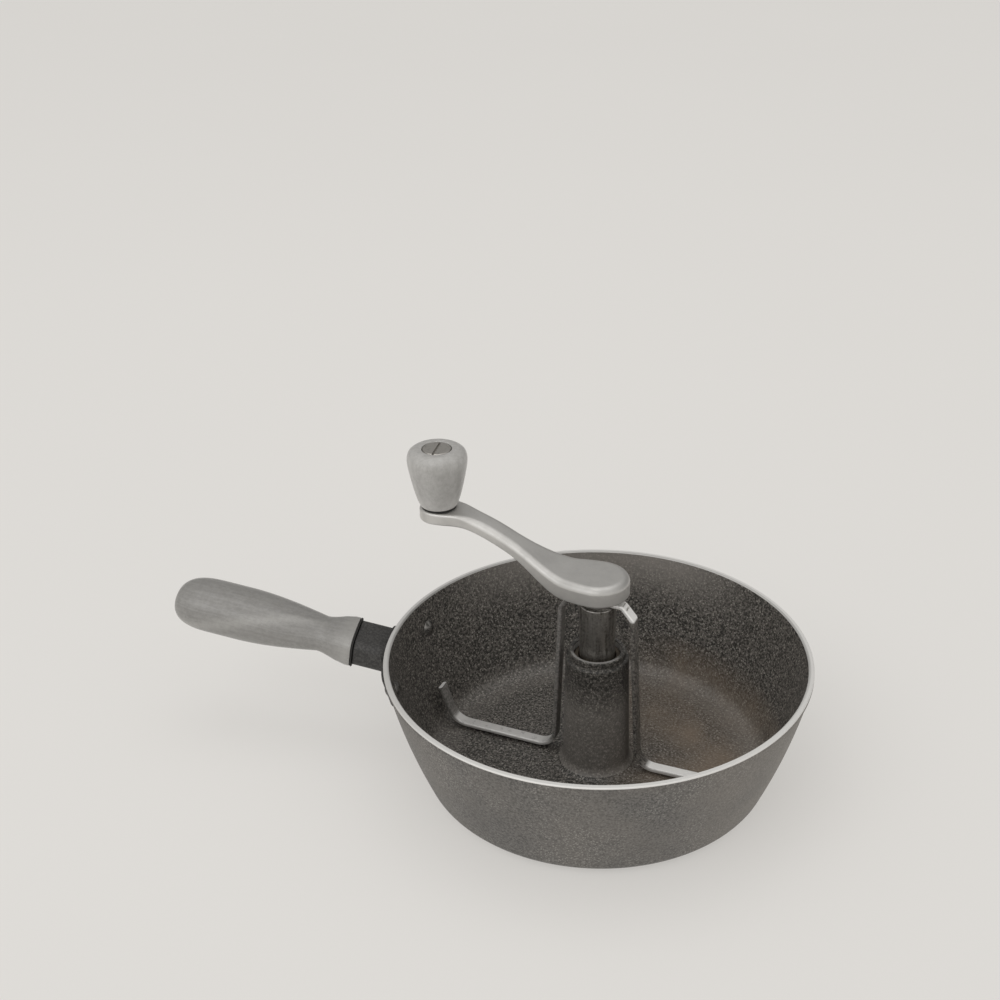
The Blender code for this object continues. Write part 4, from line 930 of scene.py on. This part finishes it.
def steel_finish():
    """Turned steel browned in streaks that run down it."""
    look = Finish("stem steel")
    z = look.axes()[2]
    streaks = look.noise(1.0, 3.0, 0.6, place=look.along((0, 0, 0), stretch=(0.0022, 0.0022, 0.020)))
    mottle = look.noise(0.0016, 4.0, 0.65)
    marks = look.rings(z, 0.00022)
    browned = look.span(streaks * 0.6 + mottle * 0.4, 0.38, 0.62)
    colour = look.mix(browned, STEEL_BRIGHT, STEEL_BROWNED)
    rough = 0.28 + browned * 0.14 + mottle * 0.08
    return look.done(colour, rough, 1.0, marks * 0.5 + mottle * 0.5, 0.00003)


STEEL = steel_finish()
stem_foot_radius = STEM_RADIUS - STEM_STEP
stem_section = drawn_section([(TIE_HOLE, STEM_TOP_Z, 0.0002), (STEM_RADIUS, STEM_TOP_Z, STEM_ROUND),
    (STEM_RADIUS, STEP_Z, 0.0002), (STEM_RADIUS - CLIP_GROOVE_DEPTH, STEP_Z),
    (STEM_RADIUS - CLIP_GROOVE_DEPTH, GROOVE_FOOT_Z), (STEM_RADIUS, GROOVE_FOOT_Z, 0.0002),
    (STEM_RADIUS, LAND_FOOT_Z, 0.0003), (stem_foot_radius, LAND_FOOT_Z - STEM_STEP, 0.0006),
    (stem_foot_radius, STEM_FOOT_Z, STEM_ROUND), (TIE_HEAD_RADIUS + GAP, STEM_FOOT_Z, 0.0003),
    (TIE_HEAD_RADIUS + GAP, TIE_SEAT), (TIE_HOLE, TIE_SEAT)], closed=True)
fitted(combined(turned(stem_section, STEEL), [dowel_hole]), "crank", "stem_steel", "drive_stem",
    matrix=crank_matrix)

# Retaining clip
# An open spring steel ring snaps into the stem's groove and holds the bush on it. It is
# stamped, hardened and blued.
SPRING_BLUE = (0.060, 0.066, 0.080)
SPRING_RUBBED = (0.24, 0.24, 0.25)


def spring_finish():
    """Blued spring steel with fine scratches."""
    look = Finish("spring steel")
    grain = look.noise(0.0005, 3.0, 0.6)
    rubbed = look.span(look.noise(0.003, 3.0), 0.5, 0.7)
    colour = look.mix(rubbed, SPRING_BLUE, SPRING_RUBBED)
    return look.done(colour, 0.30 + grain * 0.18, 1.0, grain, 0.00002)


shown("retaining_clip", "spring_steel", spring_finish())

# Stem screw and its lock washer
# A long slotted screw runs up through the stem, the strip and the spacer into the hub
# and clamps them together. Both parts are zinc plated steel.
HUB_THICKNESS = 0.0113
HUB_WEB = 0.0032
HUB_TOP_Z = HUB_FOOT_Z + HUB_THICKNESS
TIE_TOP = HUB_TOP_Z - HUB_WEB
tie_points = [(0, TIE_TOP), (TIE_RADIUS, TIE_TOP, 0.0004), (TIE_RADIUS, TIE_HEAD_TOP, 0.0002),
    (TIE_HEAD_RADIUS, TIE_HEAD_TOP, 0.0002), (TIE_HEAD_RADIUS, TIE_HEAD_FOOT, 0.0005), (0, TIE_HEAD_FOOT)]
fitted(screw(tie_points, ZINC, TIE_HEAD_RADIUS, TIE_HEAD_FOOT), "crank", "zinc_steel", "stem_screw",
    matrix=crank_matrix)
shown("stem_lock_washer", "zinc_steel", ZINC)

# Dowel
# A ground steel pin keys the stem, the strip, the spacer and the hub, so that the strip
# turns with the crank. It is hidden once they are clamped.
shown("drive_dowel", "zinc_steel", ZINC)

# Hub spacer
# A turned steel collar lifts the hub clear of the strip. Its edge shows as a thin light
# line under the hub.
SPACER_MARGIN = 0.0020
SPACER_RADIUS = STEM_RADIUS + SPACER_MARGIN
SPACER_BRIGHT = (0.60, 0.59, 0.57)


def spacer_finish():
    """Bright turned steel with fine rings."""
    look = Finish("spacer steel")
    marks = look.rings(look.from_axis() + look.axes()[2], 0.00020)
    grain = look.noise(0.0008, 3.0, 0.6)
    colour = look.mix(look.span(grain, 0.45, 0.75) * 0.6, SPACER_BRIGHT, ZINC_DULL)
    return look.done(colour, 0.26 + grain * 0.14, 1.0, marks * 0.7 + grain * 0.3, 0.00003)


spacer_ring = ring_section(TIE_HOLE, SPACER_RADIUS, SPACER_FOOT_Z, SPACER_FOOT_Z + SPACER_THICKNESS,
    0.0003)
fitted(combined(turned(spacer_ring, spacer_finish(), corner_points=4), [dowel_hole]), "crank",
    "stem_steel", "hub_spacer", matrix=crank_matrix)

# Stirrer
# One flat stainless strip is bent down on both sides of the post and out along the
# floor, and its ends are turned up. It is cut, slotted, bent cold and left bright.
STRIP_WIDTH = 0.0070
STRIP_EDGE = 0.0009
LEG_CLEARANCE = 0.0021
FOOT_CLEARANCE = 0.0026
ARM_CLIMB = 0.0006
TIP_LENGTH = 0.0226
HEEL_CLEARANCE = 0.00494
TIP_CLEARANCE = 0.0059
STRIP_SHOULDER = POST_RADIUS + LEG_CLEARANCE + STRIP_THICKNESS / 2
STRIP_FOOT_Z = PAN_FLOOR + FOOT_CLEARANCE
STRIP_ARM_Z = STRIP_FOOT_Z + ARM_CLIMB
STRIP_TIP_Z = STRIP_ARM_Z + TIP_LENGTH
STRIP_HEEL = wall_radius(STRIP_ARM_Z, INNER_WALL) - HEEL_CLEARANCE - STRIP_THICKNESS / 2
STRIP_TIP = wall_radius(STRIP_TIP_Z, INNER_WALL) - TIP_CLEARANCE - STRIP_THICKNESS / 2
SHOULDER_FALL = 0.0076
SHOULDER_Z = STRIP_Z - SHOULDER_FALL
FOOT_SPREAD = 0.0042
SLOT_OFFSET = STRIP_SHOULDER - 0.0048
STRIP_SLOT_LENGTH = 0.0046
STRIP_SLOT_WIDTH = 0.0008
STRIP_SLOT_PITCH = 0.0021
STAINLESS_BRIGHT = (0.80, 0.79, 0.77)
STAINLESS_HIGHLIGHT = (0.95, 0.94, 0.92)
STAINLESS_SHADE = (0.46, 0.45, 0.44)
STAINLESS_BROWNED = (0.205, 0.190, 0.172)
STAINLESS_BURNT_AND_SHADED = (0.055, 0.051, 0.046)


def strip_tree():
    """A flat strip along a drawn route with round bends, and two slots cut through each shoulder."""
    nodes, given = new_tree("bent strip", ints=("Bend points",),
        floats=("Width", "Thickness", "Edge", "Slot offset", "Slot pitch", "Slot width", "Slot length",
        "Slot depth", "Slot z"))

    def beside(offset, z=0.0):
        """Two points, one at either side of the middle."""
        return nodes.add("GeometryNodeMeshLine",
            {"Count": 2, "Start Location": nodes.point(X=offset * -1, Z=z),
            "Offset": nodes.point(X=offset, Z=z)}, mode="END_POINTS")

    line = nodes.add("GeometryNodeMeshToCurve", {"Mesh": given["Mesh"]})
    route = nodes.rounded(line, given["Bend points"], nodes.stored("corner"))
    flat = nodes.add("GeometryNodeCurvePrimitiveQuadrilateral",
        {"Width": given["Width"], "Height": given["Thickness"]}, mode="RECTANGLE")
    eased = nodes.rounded(flat, 4, given["Edge"])
    strip = nodes.add("GeometryNodeCurveToMesh",
        {"Curve": route, "Profile Curve": eased, "Fill Caps": True})
    size = nodes.point(X=given["Slot width"], Y=given["Slot length"], Z=given["Slot depth"] * 2)
    cutter = nodes.add("GeometryNodeMeshCube", {"Size": size})
    tab = nodes.add("GeometryNodeInstanceOnPoints",
        {"Points": beside(given["Slot pitch"] * 0.5), "Instance": cutter})
    slots = nodes.add("GeometryNodeInstanceOnPoints",
        {"Points": beside(given["Slot offset"], given["Slot z"]), "Instance": tab})
    solid = nodes.add("GeometryNodeRealizeInstances", {"Geometry": slots})
    cut = nodes.add("GeometryNodeMeshBoolean", {"Mesh 1": strip, "Mesh 2": solid}, operation="DIFFERENCE",
        solver="EXACT")
    return end_tree(nodes, cut, given)


def stainless_finish():
    """Satin strip with fine lines along it, browned by heat and oil on its upright stretches, with
    painted shade and painted highlights.
    """
    look = Finish("stirrer stainless")
    lengthwise = (0, 0, CRANK_ANGLE)
    lines = look.noise(1.0, 3.0, 0.6, place=look.along((0, 0, 0), lengthwise, (0.020, 0.00025, 0.010)))
    marks = look.span(look.noise(0.004, 4.0, 0.7), 0.55, 0.75)
    x, _, z = look.axes()
    facing = look.facing_up()
    right = x > 0
    uprights = look.span(z + right * 0.003, 0.0085, 0.0125) * look.span(z, 0.1034, 0.1022)
    shaded = look.span(x, -0.012, -0.014) * (z > 0.09)
    crust = look.span(look.noise(0.0014, 3.0, 0.75), 0.42, 0.58)
    # Browned upright stretches, darkest on faces not turned up: heat tint and painted shade.
    browned = uprights * look.span(facing - right * 0.17, 0.80, 0.70)
    # Painted shade: the up-facing faces of the floor runs are darker, mottled by the marks.
    rubbed = look.span(z, 0.012, 0.009) * look.span(facing, 0.6, 0.8) * (0.35 + marks * 0.5)
    bright = look.mix(marks * 0.4 + lines * 0.3 + rubbed, STAINLESS_BRIGHT, STAINLESS_SHADE)
    # Painted highlight high on the shoulders, along the right arm's floor run and in a band at the height
    # of the tips' ends.
    strip_painted_highlight = (z > 0.09) + right * (z < 0.014) + (z > 0.027) * (z < 0.040)
    bright = look.mix(strip_painted_highlight * (1 - marks * 0.3), bright, STAINLESS_HIGHLIGHT)
    burnt_and_shaded = look.mix(crust, STAINLESS_BURNT_AND_SHADED, STAINLESS_BROWNED)
    # Painted light: the left side's browned stretches are made paler.
    burnt_and_shaded = look.mix((1 - right) * 0.20, burnt_and_shaded, STAINLESS_SHADE)
    colour = look.mix(browned + shaded, bright, burnt_and_shaded)
    return look.done(colour, 0.42 + lines * 0.10 + marks * 0.08, 0.45 - browned * 0.35,
        lines + crust * browned, 0.00003)


half_route = [(SPACER_RADIUS + 0.0028, STRIP_Z, 0.0030), (STRIP_SHOULDER, SHOULDER_Z, 0.0034),
    (STRIP_SHOULDER + FOOT_SPREAD, STRIP_FOOT_Z, 0.0105), (STRIP_HEEL, STRIP_ARM_Z, 0.0120),
    (STRIP_TIP, STRIP_TIP_Z)]
route = [(-x, *rest) for x, *rest in reversed(half_route)] + [(0, STRIP_Z)] + half_route
strip_mesh = grown(drawn_section(route), strip_tree(), stainless_finish(),
    {"Width": STRIP_WIDTH, "Thickness": STRIP_THICKNESS, "Edge": STRIP_EDGE, "Bend points": 16,
    "Slot offset": SLOT_OFFSET, "Slot pitch": STRIP_SLOT_PITCH, "Slot width": STRIP_SLOT_WIDTH,
    "Slot length": STRIP_SLOT_LENGTH, "Slot depth": SHOULDER_FALL, "Slot z": STRIP_Z})
tie_passage = rod(TIE_HOLE, STRIP_Z - OVERRUN, STRIP_Z + OVERRUN)
fitted(combined(strip_mesh, [tie_passage, dowel_hole]), "crank", "stirrer_stainless", "stirrer_strip",
    matrix=crank_matrix)

# Crank arm
# One aluminium casting forms the hub, the tapered arm that climbs in an S, and the seat
# for the knob. Its edges are rounded, and it is tumbled to a satin finish.
CRANK_RADIUS = 0.0950
HUB_RADIUS = 0.0175
ARM_NECK_HALF = 0.0075
SEAT_RADIUS = 0.0110
SEAT_THICKNESS = 0.0068
SEAT_WEB = 0.0018
CRANK_RISE = 0.0243
RISE_START = 0.0155
RISE_END = 0.0100
RISE_HASTE = 0.86
THIN_START = 0.0110
TAPER_LENGTH = 0.0520
SEAT_FLARE = 0.0220
CRANK_SHOULDER = 0.0046
SHOULDER_DROP = 0.8
SEAT_EDGE = 0.0018
SHOULDER_END = 0.0670
CRANK_FOOT_EDGE = 0.0008
SEAT_Z = HUB_TOP_Z + CRANK_RISE
CLIMB = CRANK_RADIUS - RISE_END - RISE_START
ARM_BRIGHT = (0.66, 0.65, 0.63)
ARM_SHADE = (0.53, 0.52, 0.505)
ARM_PAINTED_SHADE = (0.36, 0.355, 0.345)     # painted shade on the rounded edges near the hub


def arm_top(x):
    """Height of the arm's upper face."""
    return HUB_TOP_Z + CRANK_RISE * ease(max((x - RISE_START) / CLIMB, 0.0) ** RISE_HASTE)


def arm_bottom(x):
    """Height of the arm's lower face, for a thickness measured square to the climb."""
    slope = (arm_top(x + GAP) - arm_top(x - GAP)) / (2 * GAP)
    thinned = ease((x - THIN_START) / (TAPER_LENGTH - THIN_START))
    thickness = HUB_THICKNESS + (SEAT_THICKNESS - HUB_THICKNESS) * thinned
    return arm_top(x) - thickness * hypot(1, slope)


def arm_half_width(x):
    """Half the arm's width in plan between its round ends."""
    taper = HUB_RADIUS + (ARM_NECK_HALF - HUB_RADIUS) * ease(x / TAPER_LENGTH)
    return taper + (SEAT_RADIUS - ARM_NECK_HALF) * ease((x - CRANK_RADIUS + SEAT_FLARE) / SEAT_FLARE)


def arm_edge(x, top):
    """How far in and down the rounding of the upper or lower edge reaches."""
    if not top:
        return CRANK_FOOT_EDGE, CRANK_FOOT_EDGE
    shrunk = ease((x - SHOULDER_END) / (CRANK_RADIUS - SEAT_RADIUS - SHOULDER_END))
    reach = CRANK_SHOULDER + (SEAT_EDGE - CRANK_SHOULDER) * shrunk
    return reach, reach * SHOULDER_DROP


def arm_mesh():
    """Loops round the plan, stepped in and rounded over the top and bottom edges."""
    side = arc(0, 0, HUB_RADIUS, pi, pi / 2, 28)
    side += [(x, arm_half_width(x)) for x in (CRANK_RADIUS * i / 84 for i in range(1, 84))]
    side += arc(CRANK_RADIUS, 0, SEAT_RADIUS, pi / 2, 0, 20)
    count = len(side)
    loop = [Vector(point) for point in side] + [Vector((x, -y)) for x, y in reversed(side[1:-1])]
    size = len(loop)
    inward = []
    for i in range(size):
        run = loop[(i + 1) % size] - loop[i - 1]
        inward.append(Vector((run.y, -run.x)).normalized())
    rings = []
    for top, angles in ((False, (90, 67.5, 45, 22.5, 0)), (True, range(0, 91, 9))):
        for degrees in angles:
            angle = radians(degrees)
            ring = []
            for point, normal in zip(loop, inward):
                reach, drop = arm_edge(point.x, top)
                place = point + normal * (reach * (1 - cos(angle)))
                dip = drop * (1 - sin(angle))
                z = arm_top(place.x) - dip if top else arm_bottom(place.x) + dip
                ring.append((place.x, place.y, z))
            rings.append(ring)
    across = [(i, i + 1, size - i - 1, size - i) for i in range(1, count - 2)]
    return lofted(rings, caps=[(0, 1, size - 1), *across, (count - 2, count - 1, count)])


def cast_finish():
    """Tumbled cast aluminium: a fine even grain with soft dents and handling marks, and painted shade on
    the rounded edges near the hub.
    """
    look = Finish("cast aluminium")
    grain = look.noise(0.00035, 2.0, 0.6)
    soft = look.noise(0.0060, 2.0)
    handled = look.span(look.noise(0.014, 4.0, 0.6), 0.45, 0.70)
    colour = look.mix(handled * 0.55 + grain * 0.25, ARM_BRIGHT, ARM_SHADE)
    facing = look.facing_up()
    # Painted shade on the rounded edges near the hub.
    eased = look.span(facing, 0.10, 0.60) * look.span(facing, 1.00, 0.80)
    near_hub = look.span(look.from_axis(), 0.045, 0.022)
    colour = look.mix(eased * near_hub * 0.45, colour, ARM_PAINTED_SHADE)
    return look.done(colour, 0.40 + grain * 0.14 + handled * 0.06, 1.0, grain * 0.35 + soft * 0.65,
        0.00010)


KNOB_SCREW_RADIUS = 0.0030
knob_matrix = crank_matrix @ Matrix.Translation((CRANK_RADIUS, 0, SEAT_Z))
seat_thread = rod(KNOB_SCREW_RADIUS + GAP, SEAT_Z + SEAT_WEB - SEAT_THICKNESS - GAP, SEAT_Z + OVERRUN,
    matrix=Matrix.Translation((CRANK_RADIUS, 0, 0)))
hub_thread = rod(TIE_HOLE, HUB_FOOT_Z - OVERRUN, TIE_TOP + GAP)
fitted(combined(arm_mesh(), [hub_thread, dowel_hole, seat_thread]), "crank", "cast_aluminium",
    "crank_arm", material=cast_finish(), matrix=crank_matrix)

# Knob seat washer, sleeve and wave washer
# The knob spins on a steel sleeve between a black fibre washer at its foot and a wavy
# spring washer under the screw's head. All three are bought in.
KNOB_HEIGHT = 0.0344
KNOB_RADIUS = 0.0168
KNOB_FOOT_RADIUS = 0.0104
KNOB_ROUND = 0.0006
KNOB_SEAT_THICKNESS = 0.0006
KNOB_FOOT = GAP + KNOB_SEAT_THICKNESS + GAP
KNOB_TOP = KNOB_FOOT + KNOB_HEIGHT
SLEEVE_WALL = 0.0020
SLEEVE_RADIUS = KNOB_SCREW_RADIUS + GAP + SLEEVE_WALL
seat_ring = ring_section(SLEEVE_RADIUS + GAP, KNOB_FOOT_RADIUS - 0.0006, GAP, GAP + KNOB_SEAT_THICKNESS,
    0.0001)
fitted(turned(seat_ring, FIBRE, steps=96, corner_points=3), "crank", "black_fibre", "knob_seat_washer",
    matrix=knob_matrix)
shown("knob_sleeve", "stem_steel", STEEL)
shown("knob_wave_washer", "zinc_steel", ZINC)

# Knob screw
# A slotted screw with a wide flat head holds the knob's sleeve to the arm. It is turned
# from bar and plated with dull nickel, and its head lies flush in the knob.
KNOB_HEAD_RADIUS = 0.0080
KNOB_HEAD_HEIGHT = 0.0026
PLATED_BRIGHT = (0.52, 0.50, 0.47)
PLATED_DULL = (0.26, 0.25, 0.23)
KNOB_SLOT_WIDTH = 0.0013
KNOB_SLOT_DEPTH = 0.0012
KNOB_SLOT_ANGLE = radians(90.0)
knob_head_foot = KNOB_TOP - KNOB_HEAD_HEIGHT
knob_screw_foot = SEAT_WEB - SEAT_THICKNESS
PLATED = metal_finish("knob screw plating", PLATED_BRIGHT, PLATED_DULL, grain=0.0006, marks=0.00030,
    blotches=(0.0022, 0.55, 0.70), share=(0.6, 0), roughness=(0.32, 0, 0.16), relief=(0.6, 0.4),
    centre=knob_matrix.to_translation())
knob_screw_points = [(0, KNOB_TOP), (KNOB_HEAD_RADIUS, KNOB_TOP, KNOB_ROUND),
    (KNOB_HEAD_RADIUS, knob_head_foot, 0.0002), (KNOB_SCREW_RADIUS, knob_head_foot, 0.0002),
    (KNOB_SCREW_RADIUS, knob_screw_foot, 0.0005), (0, knob_screw_foot)]
fitted(screw(knob_screw_points, PLATED, KNOB_HEAD_RADIUS, KNOB_TOP, 96, KNOB_SLOT_WIDTH, KNOB_SLOT_DEPTH,
    KNOB_SLOT_ANGLE - CRANK_ANGLE - pi / 2), "crank", "zinc_steel", "knob_screw", matrix=knob_matrix)

# Knob
# A pear shaped wooden knob is turned, bored for its sleeve and recessed for the screw's
# head, then stained and lacquered as the grip is.
KNOB_SIDE = ((0.995, 0.30), (0.94, 0.80), (0.87, 0.97), (0.80, 1.00), (0.70, 0.95), (0.53, 0.78),
    (0.38, 0.61), (0.24, 0.43), (0.11, 0.23), (0.03, 0.06))
KNOB_PALE = (0.455, 0.447, 0.433)
KNOB_MID = (0.382, 0.374, 0.360)
KNOB_DARK = (0.205, 0.198, 0.187)


def smooth_line(points, steps):
    """A line through all the points without corners."""
    ends = [points[0], *points, points[-1]]
    line = []
    for a, b, c, d in zip(ends, ends[1:], ends[2:], ends[3:]):
        for i in range(steps):
            t = i / steps
            line.append(tuple(q + 0.5 * t * (r - p
                + t * (2 * p - 5 * q + 4 * r - s + t * (3 * (q - r) + s - p)))
                for p, q, r, s in zip(a, b, c, d)))
    return line + [points[-1]]


sleeve_gap = SLEEVE_RADIUS + SLIP
recess_radius = KNOB_HEAD_RADIUS + 0.0004
recess_floor = knob_head_foot - GAP - 0.0008 - GAP
knob_side = [(recess_radius + KNOB_ROUND, KNOB_TOP)]
knob_side += [(KNOB_FOOT_RADIUS + (KNOB_RADIUS - KNOB_FOOT_RADIUS) * out, KNOB_FOOT + KNOB_HEIGHT * up)
    for up, out in KNOB_SIDE]
knob_side += [(KNOB_FOOT_RADIUS - 0.0002, KNOB_FOOT + 0.0002)]
knob_section = drawn_section([(sleeve_gap, recess_floor), (recess_radius, recess_floor),
    (recess_radius, KNOB_TOP, 0.0005), *smooth_line(knob_side, 8),
    (KNOB_FOOT_RADIUS - KNOB_ROUND, KNOB_FOOT), (sleeve_gap, KNOB_FOOT, 0.0003)], closed=True)
knob_wood = wood_finish("knob wood", knob_matrix, 2, KNOB_PALE, KNOB_MID, KNOB_DARK)
fitted(turned(knob_section, knob_wood), "knob", "knob_wood", "knob_grip", crease=40, matrix=knob_matrix)

# Floor, lights and camera
# The roaster stands on a wide sheet of opal acrylic, lit faintly from below so that it
# casts hardly a shadow. A soft box hangs over it, and a wider, dimmer one is in front.
FLOOR_HALF = 9.0
OPAL = (0.36, 0.355, 0.345)
OPAL_GLOW = (0.428, 0.416, 0.399)
SKY_DIM = (0.27, 0.266, 0.259)
SKY_BRIGHT = (0.84, 0.828, 0.806)


def opal_finish():
    """Matt opal acrylic with faint clouds, glowing from below."""
    look = Finish("opal acrylic")
    clouds = look.noise(0.5, 2.0)
    tooth = look.noise(0.0012, 3.0, 0.6)
    glow = look.mix(clouds, OPAL_GLOW, tuple(value * 0.97 for value in OPAL_GLOW))
    return look.done(OPAL, 0.9, 0.0, tooth, 0.00003, Specular_IOR_Level=0.2, Emission_Color=glow,
        Emission_Strength=1.0)


floor_mesh = bpy.data.meshes.new("floor")
floor_mesh.from_pydata([(x * FLOOR_HALF, y * FLOOR_HALF, -0.0002)
    for x, y in ((-1, -1), (1, -1), (1, 1), (-1, 1))], [], [(0, 1, 2, 3)])
floor_mesh.materials.append(opal_finish())
floor = new_object("floor", floor_mesh)


def soft_box(name, place, width, height, power):
    """A large area light aimed at the pan."""
    data = bpy.data.lights.new(name, "AREA")
    data.shape = "RECTANGLE"
    data.size = width
    data.size_y = height
    data.energy = power
    light = new_object(name, data)
    light.location = place
    light.rotation_euler = (Vector((0, 0, 0.08)) - Vector(place)).to_track_quat("-Z", "Y").to_euler()
    return light


soft_box("overhead", (-0.10, 0.25, 1.80), 1.4, 1.1, 3.4)
soft_box("front", (-0.90, -1.60, 1.90), 1.8, 1.4, 9.4)

world = bpy.data.worlds.new("studio")
world.use_nodes = True
world.node_tree.nodes.clear()
sky = Nodes(world.node_tree)
direction = sky.add("ShaderNodeSeparateXYZ", {"Vector": sky.add("ShaderNodeTexCoord")["Generated"]})
toward_camera = sky.add("ShaderNodeMapRange",
    {"Value": direction["Y"] * -0.75 + direction["Z"] * 0.6, "From Min": -0.6, "From Max": 0.9},
    interpolation_type="SMOOTHSTEP")
shade = sky.add("ShaderNodeMix", {"Factor_Float": toward_camera, "A_Color": SKY_DIM,
    "B_Color": SKY_BRIGHT}, data_type="RGBA")
glow = sky.add("ShaderNodeBackground", {"Color": shade, "Strength": 1.0})
sky.add("ShaderNodeOutputWorld", {"Surface": glow})
bpy.context.scene.world = world

camera_data = bpy.data.cameras.new("camera")
camera_data.lens = 57.6
camera_data.sensor_width = 36.0
camera_data.shift_x = -0.0003
camera_data.shift_y = 0.0006
camera = new_object("camera", camera_data)
camera.matrix_world = Matrix(((0.9701013, -0.0962904, 0.2227817, 0.1388487),
    (0.2419375, 0.4564060, -0.8562475, -0.7419316), (-0.0192305, 0.8845461, 0.4660563, 0.5706304),
    (0, 0, 0, 1)))
bpy.context.scene.camera = camera
bpy.context.scene.view_settings.view_transform = "Standard"
